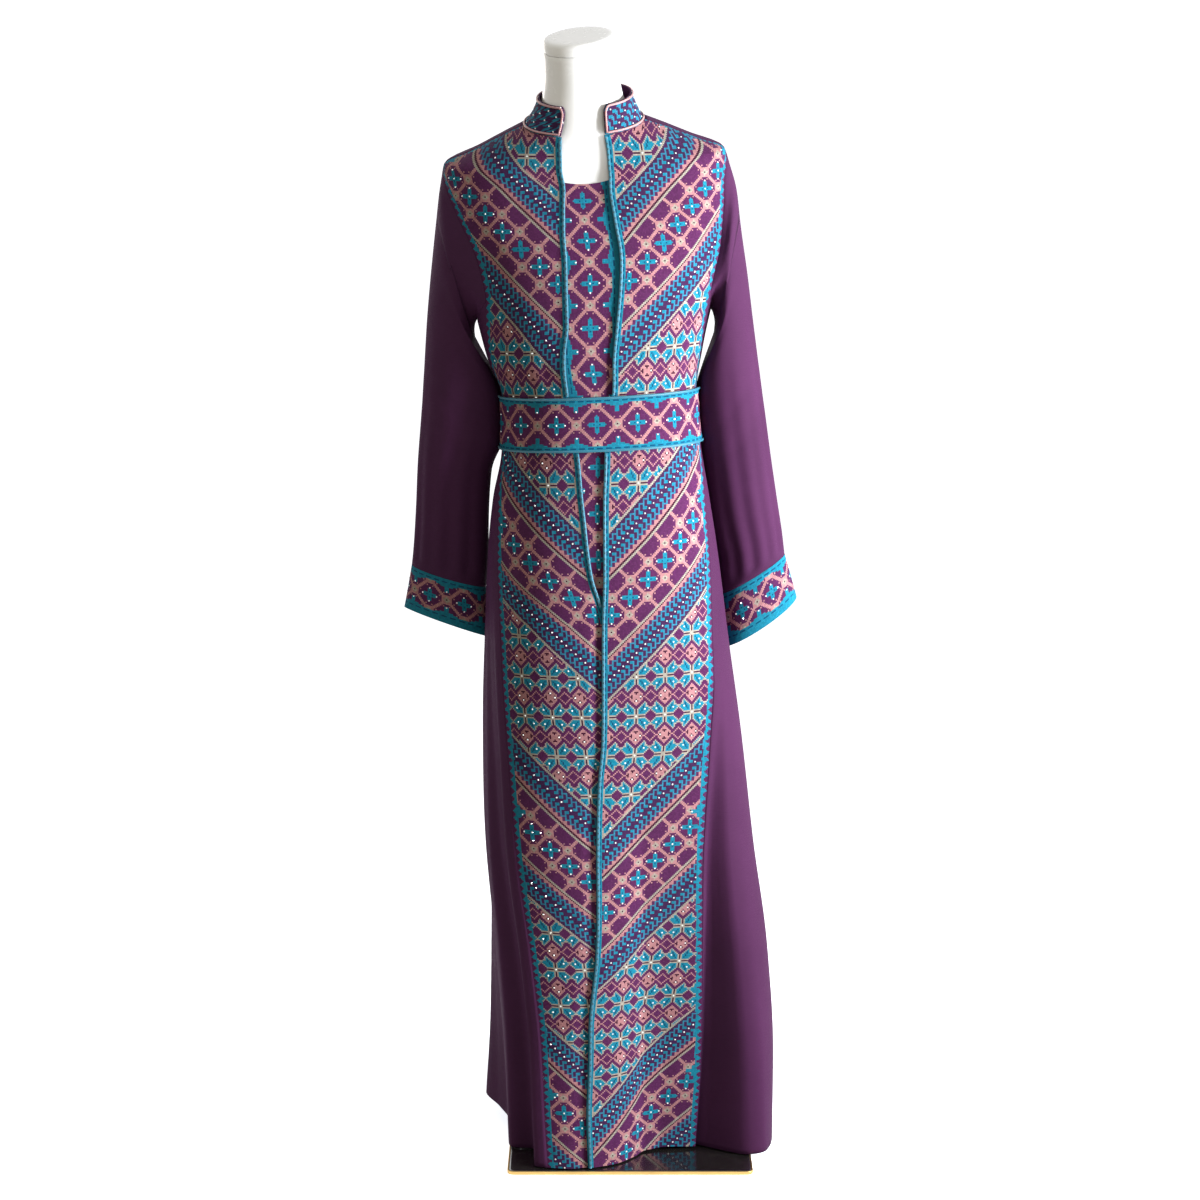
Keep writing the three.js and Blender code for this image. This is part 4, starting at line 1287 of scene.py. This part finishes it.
SCOOP_SHARES = {
    "right": [0, 0.055, 0.095, 0.132, 0.22, 0.308, 0.407, 0.538, 0.66, 0.78, 0.9, 1],
    "left": [0, 0.04, 0.073, 0.105, 0.15, 0.2, 0.355, 0.526, 0.67, 0.83, 1],
}
# heights down either side of the armhole, the last one at the scoop
ARM_ROWS = [TIP_Z - 0.7, 1408, 1385, 1350, 1310, 1270, UNDERARM_Z + SEAM]


def armhole(side, count):
    """Heights and angles of a closed line round the armhole, from the tip down the front."""
    sign = -1 if side == "right" else 1
    gap = math.degrees(SEAM / ARMHOLE_REACH) * sign
    shares = SCOOP_SHARES[side]
    top, low = len(ARM_ROWS) - 1, len(ARM_ROWS) + len(shares) - 2
    total = low + top
    s = np.arange(count) * total / count
    a = np.interp(s, np.arange(top, low + 1), shares)
    knots = np.arange(top + 1)
    down, up = np.interp(s, knots, ARM_ROWS), np.interp(total - s, knots, ARM_ROWS)
    scoop = (s >= top) & (s <= low)
    z = np.where(s < top, down, np.where(scoop, ARM_ROWS[-1] - underarm_dip(a), up))
    front, rear = (EDGE[name](z) + move for name, move in zip(SIDE[side], (gap, -gap)))
    deg = np.where(scoop, mix(front, rear, a), np.where(s < top, front, rear))
    deg[0] = 90 * sign
    return z, deg, np.degrees(2 * np.pi * s / total)


def sleeve_section(curves, share, turns, inset):
    """Oval section; turn 0 is its outer edge and 90 its front."""
    ox, oz, ix, iz, y, half, drop = (float(curve(share)) for curve in curves)
    reach = math.hypot(ox - ix, oz - iz) / 2
    inset = np.broadcast_to(inset, turns.shape)
    k = np.cos(np.radians(turns)) * (reach - inset) / reach
    s = np.sin(np.radians(turns))
    return np.stack([(ox + ix) / 2 + k * (ox - ix) / 2, y - s * (half - inset),
                     (oz + iz) / 2 + k * (oz - iz) / 2 - s * drop / 2], -1)


# turn where a sleeve fold lies, half width, depth at the cuff, share where it starts
SLEEVE_FOLDS = [
    (28, 13, 4.2, 0.18), (58, 11, 3.4, 0.3), (88, 12, 4.4, 0.22), (121, 12, 3.6, 0.35),
    (205, 14, 3.8, 0.3), (243, 12, 4.6, 0.25), (281, 13, 4.0, 0.2), (322, 12, 3.6, 0.3),
]
# share, turn, half turn, half share, depth: short creases at the elbow and under the arm
SLEEVE_CREASES = [
    (0.50, 70, 34, 0.016, 1.8), (0.55, 40, 30, 0.018, 1.6), (0.60, 84, 32, 0.016, 1.7),
    (0.47, 250, 36, 0.017, 1.8), (0.56, 290, 32, 0.018, 1.7), (0.30, 116, 26, 0.02, 1.8),
    (0.24, 130, 22, 0.02, 1.6), (0.31, 238, 26, 0.02, 1.8), (0.70, 60, 30, 0.015, 1.2),
]


CREASE_SHARE = 0.5      # of their depths, which press softly
SMOOTH_HEAD, SMOOTH_CUFF = 0.1, 0.07      # shares of the sleeve over which all folds fade out


def turned_from(turns, middle):
    """Degrees from a middle turn, the short way round."""
    return (turns - middle + 180) % 360 - 180


def sleeve_depth(share, turns):
    """How deep the folds and creases press into the sleeve."""
    depth = np.zeros(turns.shape)
    for turn, wide, deep, start in SLEEVE_FOLDS:
        away = turned_from(turns, turn)
        grown = smooth((share - start) / (1 - start))
        depth = depth + deep * grown * np.exp(-((away / wide) ** 2))
    for at, turn, wide, tall, deep in SLEEVE_CREASES:
        away = turned_from(turns, turn)
        slant = at + 0.02 * away / wide
        press = np.exp(-((away / wide) ** 2) - ((share - slant) / tall) ** 2)
        depth = depth + deep * CREASE_SHARE * press
    from_head = smooth((share - SMOOTH_HEAD) / SMOOTH_HEAD)
    return depth * from_head * (1 - smooth((share - (1 - SMOOTH_CUFF)) / SMOOTH_CUFF))


def catmull(rings, place):
    """Smooth path through rings at whole numbers, sampled at place."""
    last = len(rings) - 1
    i = min(int(place), last - 1)
    t = place - i
    a, b, c, d = (rings[min(max(k, 0), last)] for k in (i - 1, i, i + 1, i + 2))
    return 0.5 * (2 * b + (c - a) * t + (2 * a - 5 * b + 4 * c - d) * t**2
                  + (3 * b - a - 3 * c + d) * t**3)


# share of the way from the armhole to the first section, how far that ring arches up
SLEEVE_HEAD = [(0.15, 5.5), (0.42, 9.5)]
SLEEVE_FROM, SLEEVE_SECOND, SLEEVE_REST = 0.08, 0.15, 0.115      # shares of the first sections


def sleeve_rings(side, lift, count):
    """Rings from the armhole to the cuff; the inner face has a positive lift and arches less."""
    curves = columns(SLEEVES[side])
    z, deg, turns = armhole(side, count)
    root = body(z, deg, -lift)
    first = sleeve_section(curves, SLEEVE_FROM, turns, lift)
    under = np.clip((-np.cos(np.radians(turns)) - 0.1) / 0.7, 0, 1)
    over = np.maximum(0, np.cos(np.radians(turns)))
    arched = 0.7 if lift > 0 else 1.0
    head = [root]
    for share, arch in SLEEVE_HEAD:
        ring = mix(root, first, share)
        ring[:, 2] += arched * (arch * under + 2 * over)
        head.append(ring)
    head += [first, sleeve_section(curves, SLEEVE_SECOND, turns, lift)]
    rings = [catmull(head, k / 4) for k in range(4 * (len(head) - 1))]
    for share in np.linspace(SLEEVE_REST, 1, 76):
        rings.append(sleeve_section(curves, share, turns, lift + sleeve_depth(share, turns)))
    return np.array(rings)


class ABAYA_OT_sleeves(bpy.types.Operator):
    """Long plain sleeves, open at the cuffs."""

    bl_idname = "abaya.sleeves"
    bl_label = "Sleeves"

    around = 120
    weave = 2.8      # millimetres of cloth between two points round the sleeve

    def execute(self, context):
        for side in SIDE:
            outer = sleeve_rings(side, 0.0, self.around)
            inner = sleeve_rings(side, WALL, self.around)
            if side == "right":
                outer, inner = outer[:, ::-1], inner[:, ::-1]
            down = np.linalg.norm(np.diff(outer, axis=0), axis=2).mean(1)
            down = np.concatenate([[0], np.cumsum(down)])
            u = np.broadcast_to(np.arange(self.around) * self.weave, outer.shape[:2])
            uv = np.stack([u, np.broadcast_to(down[:, None], u.shape)], -1)
            piece = shell("sleeve_" + side, outer[::-1], inner[::-1], uv[::-1], loop=True)
            dress(piece, purple_skin(), "purple_cloth", "sleeve_" + side)
        return {"FINISHED"}


class ABAYA_OT_cuffs(bpy.types.Operator):
    """Stitched cuffs with one chain of diamonds."""

    bl_idname = "abaya.cuffs"
    bl_label = "Cuffs"

    half, reach, hem = 15, 12, 3
    repeats = 6
    wall = 2.0

    def execute(self, context):
        rows = 2 * self.half + 2 + self.hem
        for side in SIDE:
            curves = columns(CUFFS[side])
            turns = np.linspace(0, 360, 181) * (-1 if side == "right" else 1) + 180
            shares, turns = np.meshgrid(np.linspace(1, 0, rows), turns, indexing="ij")

            def place(share, turn, lift, curves=curves):
                out = np.empty(share.shape + (3,))
                for i in range(len(share)):
                    out[i] = sleeve_section(curves, share[i].mean(), turn[i], -lift[i])
                return out

            numbers = self.half + self.hem - np.arange(rows)
            cloth = StitchedCloth("cuff_" + side, shares, turns, place, np.zeros(rows),
                                  stitch_width(), self.wall, numbers,
                                  repeats=self.repeats * 2 * self.reach)

            def chart(column, row, end):
                return chain_chart(row, column, self.half, self.reach)

            piece, crystals = stitched_piece(cloth, chart, "cuff_" + side)
        return {"FINISHED"}


# ---- collar, belt and cords -----------------------------------------------------------------


def collar_point(share, a, lift):
    """Point of the collar at a share of its height and a share of its length."""
    left, right, front, back, lean_x, lean_y = (curve(share) for curve in COLLAR_CURVES)
    row = (left, right, front, back, 2.1, lean_x, lean_y)
    return oval(NECK_Z + SEAM + COLLAR_H * share, mix(COLLAR_FROM, COLLAR_TO, a), row, lift)


def round_cord(name, path, normals, width, height, loop=False, turns=10):
    """Oval trim along a path: its width lies on the cloth and its height stands off it."""
    if loop:
        ahead = np.roll(path, -1, axis=0) - np.roll(path, 1, axis=0)
    else:
        ahead = np.gradient(path, axis=0)
    side = np.cross(ahead, normals)
    side /= np.linalg.norm(side, axis=1, keepdims=True)
    around = np.radians(np.arange(turns) * 360 / turns)
    rings = np.stack([path + side * width / 2 * math.cos(t) + normals * height / 2 * math.sin(t)
                      for t in around], 1)
    index = numbered(len(rings), turns)
    if loop:
        index = np.concatenate([index, index[:1]])
    faces = [quads(index, True)]
    if not loop:
        for ring in (index[0], index[-1][::-1]):
            fan = [[ring[0], ring[k], ring[k + 1], ring[k + 2]] for k in range(1, turns - 2, 2)]
            faces.append(np.array(fan))
    length = np.concatenate([[0], np.cumsum(np.linalg.norm(np.diff(path, axis=0), axis=1))])
    v = np.arange(turns) / turns
    uv = np.stack(np.broadcast_arrays((length / CORD_REPEAT)[:, None], v[None, :]), -1)
    return mesh_object(name, rings.reshape(-1, 3), np.concatenate(faces), uv.reshape(-1, 2))


def body_normals(z, deg):
    return normals_of(lambda da, dz: body(z + dz * 2, deg + da * 2))


def normals_of(surface, step=0.5):
    """Outward normals of a surface given as a function of two offsets."""
    along = surface(step, 0.0) - surface(-step, 0.0)
    up = surface(0.0, step) - surface(0.0, -step)
    normal = np.cross(along, up)
    return normal / np.linalg.norm(normal, axis=-1, keepdims=True)


# width along the cloth, height off it, and how far the middle lies from the cloth
COLLAR_PIPING = {"width": 2.9, "height": 2.1, "lift": 1.35}
BELT_PIPING = {"width": 3.0, "height": 1.7, "lift": 1.15, "inset": 1.6}
FRONT_CORD = {"width": CORD_WIDTH * 0.92, "height": 1.9, "lift": 1.45, "inset": 2.4}


class ABAYA_OT_collar(bpy.types.Operator):
    """Standing collar worked in net, edged with pink piping."""

    bl_idname = "abaya.collar"
    bl_label = "Collar"

    rows = 18
    rounding = 0.016           # share of the collar's length that a front corner takes
    rounding_from = 0.72       # share of its height where the corner starts
    net_rows, net_from = 15, 4

    def execute(self, context):
        share, a = np.meshgrid(np.linspace(0, 1, self.rows + 1), np.linspace(0, 1, 241),
                               indexing="ij")
        bend = np.clip((share - self.rounding_from) / (1 - self.rounding_from), 0, 1)
        corner = self.rounding * bend ** 2
        cloth = StitchedCloth("collar", share, mix(corner, 1 - corner, a), collar_point,
                              np.zeros(self.rows + 1), stitch_width(), COLLAR_WALL,
                              np.arange(self.rows + 1)[::-1])

        def chart(column, row, end):
            return net_chart((row + column) % self.net_rows + self.net_from, column)

        piece, crystals = stitched_piece(cloth, chart, "collar")
        self.piping()
        return {"FINISHED"}

    def piping(self):
        """Pink piping all round the collar's outer face, rounded at the front corners."""
        start, low = 0.006, 0.05            # inset from the ends and from the edges, shares
        stop, high = 1 - start, 1 - low
        round_a, round_s = 0.022, 0.3       # size of a rounded corner, shares
        turn = np.linspace(0, 1, 7)[1:-1] * math.pi / 2
        climb = np.linspace(0, 1, 6)
        foot = [(low, p) for p in np.linspace(start, stop, 150)]
        front = [(mix(low, high - round_s, t), stop) for t in climb[1:]]
        front += [(high - round_s * (1 - math.sin(t)), stop - round_a * (1 - math.cos(t)))
                  for t in turn]
        top = [(high, mix(stop - round_a, start + round_a, t)) for t in np.linspace(0, 1, 140)]
        rear = [(high - round_s * (1 - math.cos(t)), start + round_a * (1 - math.sin(t)))
                for t in turn]
        rear += [(mix(high - round_s, low, t), start) for t in climb[:-1]]
        share, a = np.array(foot + front + top + rear).T

        def surface(da, ds):
            return collar_point(share + ds * 0.05, a + da * 0.01, 0.0)

        normals = normals_of(surface)
        path = collar_point(share, a, 0.0) + normals * COLLAR_PIPING["lift"]
        piece = round_cord("collar_piping", path, normals, COLLAR_PIPING["width"],
                           COLLAR_PIPING["height"], loop=True)
        material = shared("piping", cord_material, "pink_piping", tuple(cloth_settings().pink))
        return dress(piece, material, "pink_piping", "collar_piping")


class ABAYA_OT_belt(bpy.types.Operator):
    """Belt with a chain of diamonds, corded along both edges."""

    bl_idname = "abaya.belt"
    bl_label = "Belt"

    half, reach = 18, 14
    first_cross = -2.9      # degrees

    def execute(self, context):
        rows = 2 * self.half + 2
        turns = np.linspace(0, 360, 721) + self.first_cross - 180
        z, deg = np.meshgrid(np.linspace(*BELT_Z, rows), turns, indexing="ij")

        def place(z, deg, lift):
            return body(z, deg, lift + BELT_LIFT[1])

        around = arc_lengths(place(z[:1], deg[:1], np.zeros((1, len(turns)))))[0, -1]
        diamonds = round(around / (2 * self.reach * stitch_width()))
        cloth = StitchedCloth("belt", z, deg, place, np.zeros(rows), stitch_width(),
                              BELT_LIFT[1] - BELT_LIFT[0], np.arange(rows) - self.half,
                              repeats=diamonds * 2 * self.reach)
        offset = 0 if diamonds % 2 == 0 else self.reach

        def chart(column, row, end):
            return chain_chart(row, column + offset, self.half, self.reach)

        piece, crystals = stitched_piece(cloth, chart, "belt")
        pipings = [self.piping("top", BELT_Z[1] - BELT_PIPING["inset"]),
                   self.piping("bottom", BELT_Z[0] + BELT_PIPING["inset"])]
        [crystals] + pipings
        return {"FINISHED"}

    def piping(self, name, height):
        """Teal piping all round one edge of the belt."""
        deg = np.linspace(-180, 180, 301)[:-1]
        z = np.full(deg.shape, float(height))
        path = body(z, deg, BELT_LIFT[1] + BELT_PIPING["lift"])
        piece = round_cord("belt_piping_" + name, path, body_normals(z, deg),
                           BELT_PIPING["width"], BELT_PIPING["height"], loop=True)
        material = shared("braid", cord_material, "teal_braid", tuple(cloth_settings().teal))
        return dress(piece, material, "teal_cord", "belt_piping_" + name)


class ABAYA_OT_cords(bpy.types.Operator):
    """Teal cords down the centre edges, broken by the belt."""

    bl_idname = "abaya.cords"
    bl_label = "Front cords"

    off_belt = 1.5
    off_neck = 3
    right_ends = 812      # where the lap starts to cover the right front's cord
    step = 5
    dash = 0.9            # how dark its running stitches are

    def execute(self, context):
        tops = (BELT_Z[1] + self.off_belt, NECK_Z - self.off_neck)
        low_end = BELT_Z[0] - self.off_belt
        self.cord("right_top", "centreR", *tops)
        self.cord("right_low", "centreR", self.right_ends, low_end)
        self.cord("left_top", "centreL", *tops)
        self.cord("left_low", "centreL", HEM_Z, low_end)
        return {"FINISHED"}

    def cord(self, part, edge_name, low, high):
        """One cord, set in from its front's edge."""
        right = edge_name == "centreR"
        z = np.linspace(low, high, int((high - low) / self.step) + 2)
        inset = math.degrees(FRONT_CORD["inset"] / SEAM_REACH)
        deg = EDGE[edge_name](z) + (-inset if right else inset)
        tuck = under_lift(z, deg) if right else 0.0
        path = body(z, deg, FRONT_CORD["lift"] + tuck + creases(z, deg))
        piece = round_cord("front_cord_" + part, path, body_normals(z, deg),
                           FRONT_CORD["width"], FRONT_CORD["height"])
        material = shared("cord", cord_material, "teal_cord", tuple(cloth_settings().teal),
                          self.dash)
        dress(piece, material, "teal_cord", "front_cord_" + part)


# ---- dress form and base --------------------------------------------------------------------


SHOULDER_HEIGHTS = (1403, 1412, 1420, 1429, 1437, 1446, 1454, 1462, 1469)
NECK_HEIGHTS = (1472, 1476, 1482, 1488, 1494, 1502, 1512, *np.linspace(1520, NECK_TOP - 1.2, 8))
# share of the lowest section's reach, how far below it that ring of the rounded foot lies
FORM_FOOT = [(0.9, 12.0), (0.955, 10.5), (0.985, 7.0), (1.0, 1.0)]
FORM_LOWEST = 712.0


def round_turns(count=128):
    return np.linspace(-180, 180, count, endpoint=False)


def form_ring(z, deg):
    """Section of the torso, set in from the garment."""
    row = [curve(z) for curve in BODY_CURVES]
    side, front, rear = (curve(z) for curve in INSET_CURVES)
    reach = (row[0] + side, row[1] - side, row[2] + front, row[3] - rear)
    return oval(z, deg, reach + tuple(row[4:]))


def shoulder_ring(z, deg):
    """Section of the shoulders, set in deeper behind the opening and under the back."""
    opening = 3 * smooth((52 - np.abs(deg)) / 20) * smooth((1434 - z) / 18)
    under_back = 2.6 * smooth((np.abs(deg) - 84) / 9) * smooth((1450 - z) / 12)
    lift = -WALL - FORM_GAP - (opening + under_back)
    return body(np.full(deg.shape, float(z)), deg, lift, False)


def neck_ring(z, deg, raised=0.0, scale=1.0):
    """Section of the neck, or of its cap when raised above the neck's top."""
    left, right, front, rear, lean_x, lean_y = (curve(z) for curve in NECK_CURVES)
    x, y = (left + right) / 2, (front + rear) / 2
    row = (mix(x, left, scale), mix(x, right, scale), mix(y, front, scale), mix(y, rear, scale))
    return oval(z + raised, deg, row + (2.0, lean_x, lean_y))


class ABAYA_OT_form(bpy.types.Operator):
    """Limbless gloss torso form with its neck cap."""

    bl_idname = "abaya.form"
    bl_label = "Dress form"

    def execute(self, context):
        deg = round_turns()
        rings = []
        foot = form_ring(FORM_LOWEST, deg)
        for share, drop in FORM_FOOT:
            ring = mix(foot.mean(0), foot, share)
            ring[:, 2] = mix(FORM_LOWEST, foot[:, 2], 0.3) - drop
            ring[:, 2] = np.maximum(ring[:, 2], FORM_FOOT_Z)
            rings.append(ring)
        rings += [form_ring(float(z), deg) for z in np.linspace(716, 1385, 56)]
        rings += [shoulder_ring(z, deg) for z in SHOULDER_HEIGHTS]
        rings += [neck_ring(float(z), deg) for z in NECK_HEIGHTS]
        rings.append(neck_ring(NECK_TOP, deg, 0.0, 0.985))
        material = shared("form", form_material, stage_settings())
        torso = rings_object("form_torso", rings)
        dress(torso, material, "form_white", "form_torso")
        cap = rings_object("form_cap", [neck_ring(NECK_TOP, deg, r, s) for r, s in CAP_PROFILE])
        dress(cap, material, "form_white", "form_cap")
        self.pole(material)
        return {"FINISHED"}

    def pole(self, material):
        """Round pole from the base to the form, with flanges at both ends."""
        foot, top = PLATE["z"] + SEAM, FORM_FOOT_Z - SEAM
        head = (float(BODY_CURVES[0](FORM_FOOT_Z)) + float(BODY_CURVES[1](FORM_FOOT_Z))) / 2
        profile = [
            (foot, 42.8), (foot + 0.8, 44), (foot + 3.4, 44), (foot + 5, 43.2), (foot + 6.6, 38),
            (foot + 8, 27), (foot + 10, 23.5), (foot + 24, 21.6), (foot + 39, 21),
            (foot + 41, 20), (foot + 43, POLE_R + 0.6), (foot + 46, POLE_R), (350, POLE_R),
            (top - 61, POLE_R), (top - 58, POLE_R + 1), (top - 57, 24.8), (top - 55.5, 26),
            (top - 1, 26), (top, 25.2),
        ]
        turns = np.radians(round_turns(64))
        rings = []
        for z, r in profile:
            x = mix(0.0, head, (z - foot) / (top - foot))
            rings.append(np.stack([x + r * np.cos(turns), r * np.sin(turns),
                                   np.full(turns.shape, z)], 1))
        dress(rings_object("pole", rings), material, "form_white", "pole")


def plate_outline(grow, steps=10):
    """Rounded rectangle of the base, grown outward by grow."""
    hx, hy, r = PLATE["x"] / 2 + grow, PLATE["y"] / 2 + grow, PLATE["corner"] + grow
    outline = []
    for sx, sy, start in ((1, 1, 0), (-1, 1, 90), (-1, -1, 180), (1, -1, 270)):
        for turn in np.radians(start + np.linspace(0, 90, steps)):
            outline.append((sx * (hx - r) + r * math.cos(turn), sy * (hy - r) + r * math.sin(turn)))
    return np.array(outline)


class ABAYA_OT_base(bpy.types.Operator):
    """Flat black base plate with a brass edge."""

    bl_idname = "abaya.base"
    bl_label = "Base"

    def execute(self, context):
        inside = -PLATE["edge"] - SEAM

        def ring(grow, z):
            outline = plate_outline(grow)
            return np.column_stack([outline, np.full(len(outline), float(z))])

        z = PLATE["z"]
        plate = rings_object("base_plate", [
            ring(inside, 0), ring(inside, z - 0.3), ring(inside - 0.12, z - 0.15),
            ring(inside - 0.3, z), ring(inside - 3, z)])
        dress(plate, shared("base", base_material), "base_black", "base_plate")
        rim_profile = [(-0.3, 0), (0, 0.3), (0, z - 0.7), (-0.2, z - 0.25), (-0.6, z)]
        outer = np.stack([ring(grow, height) for grow, height in rim_profile])
        inner = np.stack([ring(-PLATE["edge"], height) for _, height in rim_profile])
        rim = shell("base_rim", outer, inner, np.zeros(outer.shape[:2] + (2,)), loop=True)
        rim.data.polygons.foreach_set("use_smooth", np.zeros(len(rim.data.polygons), bool))
        dress(rim, shared("brass", brass_material), "base_brass", "base_rim")
        return {"FINISHED"}


# ---- stage ----------------------------------------------------------------------------------


COOL, WARM = (0.94, 0.97, 1.0), (1.0, 0.94, 0.88)
SURROUND = (1.0, 0.92, 0.74, 1.0)
# place, target, size in metres, spread in degrees, colour
LAMPS = {
    "key": ((2.4, -1.0, 1.3), (-0.05, 0.0, 1.1), 1.0, 84, COOL),
    "fill": ((-2.4, -2.6, 1.5), (-0.05, 0.0, 0.8), 1.8, 180, WARM),
    "top": ((0.5, -0.7, 3.4), (0.0, 0.0, 1.3), 1.6, 180, COOL),
    "back": ((-1.6, 2.6, 2.0), (0.0, 0.0, 0.8), 1.6, 180, WARM),
}
STUDIO = {"flat": 5.0, "cove": 2.0, "tall": 7.0, "sides": 96}      # metres


class ABAYA_OT_stage(bpy.types.Operator):
    """Camera, soft lights and a seamless pale floor."""

    bl_idname = "abaya.stage"
    bl_label = "Stage"

    def execute(self, context):
        settings = stage_settings()
        scene = context.scene
        camera = bpy.data.objects.new("camera", bpy.data.cameras.new("camera"))
        camera.location = settings.camera_place
        camera.rotation_euler = (math.pi / 2 - settings.camera_pitch, 0.0, 0.0)
        camera.data.sensor_width = 36.0
        camera.data.lens = settings.lens
        scene.collection.objects.link(camera)
        scene.camera = camera
        scene.view_settings.view_transform = "Standard"
        self.floor(settings)
        for name, lamp in LAMPS.items():
            self.area(name, getattr(settings, name + "_power"), *lamp)
        self.world(scene, settings)
        return {"FINISHED"}

    def floor(self, settings):
        """Round seamless studio: flat floor that curves up into a wall all round."""
        inside, radius, sides = STUDIO["flat"], STUDIO["cove"], STUDIO["sides"]
        profile = [(0.05, 0.0), (inside / 2, 0.0), (inside, 0.0)]
        for t in np.linspace(0, math.pi / 2, 14)[1:]:
            profile.append((inside + radius * math.sin(t), radius * (1 - math.cos(t))))
        profile.append((inside + radius, STUDIO["tall"]))
        turns = np.linspace(0, 2 * math.pi, sides, endpoint=False)
        rings = [np.stack([r * np.cos(turns), r * np.sin(turns), np.full(sides, z)], -1) / MM
                 for r, z in profile]
        floor = rings_object("studio_floor", [ring[::-1] for ring in rings[::-1]])
        floor.data.materials.append(floor_material(settings))
        floor.visible_diffuse = False

    def area(self, name, power, place, target, size, spread, colour):
        """A square lamp facing its target, out of the camera's sight."""
        light = bpy.data.lights.new(name, "AREA")
        light.color = colour
        light.shape = "SQUARE"
        light.size = size
        light.energy = power
        light.spread = math.radians(spread)
        lamp = bpy.data.objects.new(name, light)
        lamp.location = place
        aim = np.array(target) - np.array(place)
        lamp.rotation_euler = (math.atan2(math.hypot(aim[0], aim[1]), -aim[2]), 0.0,
                               math.atan2(-aim[0], aim[1]))
        lamp.visible_camera = False
        bpy.context.scene.collection.objects.link(lamp)

    def world(self, scene, settings):
        world = scene.world or bpy.data.worlds.new("world")
        scene.world = world
        world.use_nodes = True
        background = world.node_tree.nodes["Background"]
        background.inputs["Color"].default_value = SURROUND
        background.inputs["Strength"].default_value = settings.sky


PIECE_OPERATORS = (
    ABAYA_OT_base, ABAYA_OT_form, ABAYA_OT_fronts, ABAYA_OT_inner_front, ABAYA_OT_back,
    ABAYA_OT_sides, ABAYA_OT_sleeves, ABAYA_OT_cuffs, ABAYA_OT_collar, ABAYA_OT_belt,
    ABAYA_OT_cords, ABAYA_OT_stage,
)


class ABAYA_PT_panel(bpy.types.Panel):
    """Lists the pieces and their settings."""

    bl_label = "Abaya"
    bl_idname = "ABAYA_PT_panel"
    bl_space_type = "VIEW_3D"
    bl_region_type = "UI"
    bl_category = "Abaya"

    def draw(self, context):
        layout = self.layout
        for operator in PIECE_OPERATORS:
            layout.operator(operator.bl_idname)
        for group in (context.scene.abaya_cloth, context.scene.abaya_stage):
            for name in group.__annotations__:
                layout.prop(group, name)


CLASSES = (ABAYA_PG_cloth, ABAYA_PG_stage, *PIECE_OPERATORS, ABAYA_PT_panel)


def register():
    for cls in CLASSES:
        bpy.utils.register_class(cls)
    bpy.types.Scene.abaya_cloth = bpy.props.PointerProperty(type=ABAYA_PG_cloth)
    bpy.types.Scene.abaya_stage = bpy.props.PointerProperty(type=ABAYA_PG_stage)


def unregister():
    del bpy.types.Scene.abaya_stage
    del bpy.types.Scene.abaya_cloth
    for cls in reversed(CLASSES):
        bpy.utils.unregister_class(cls)


def main():
    """Builds every piece in order."""
    register()
    for operator in PIECE_OPERATORS:
        group, name = operator.bl_idname.split(".")
        getattr(getattr(bpy.ops, group), name)()


if __name__ == "__main__":
    main()
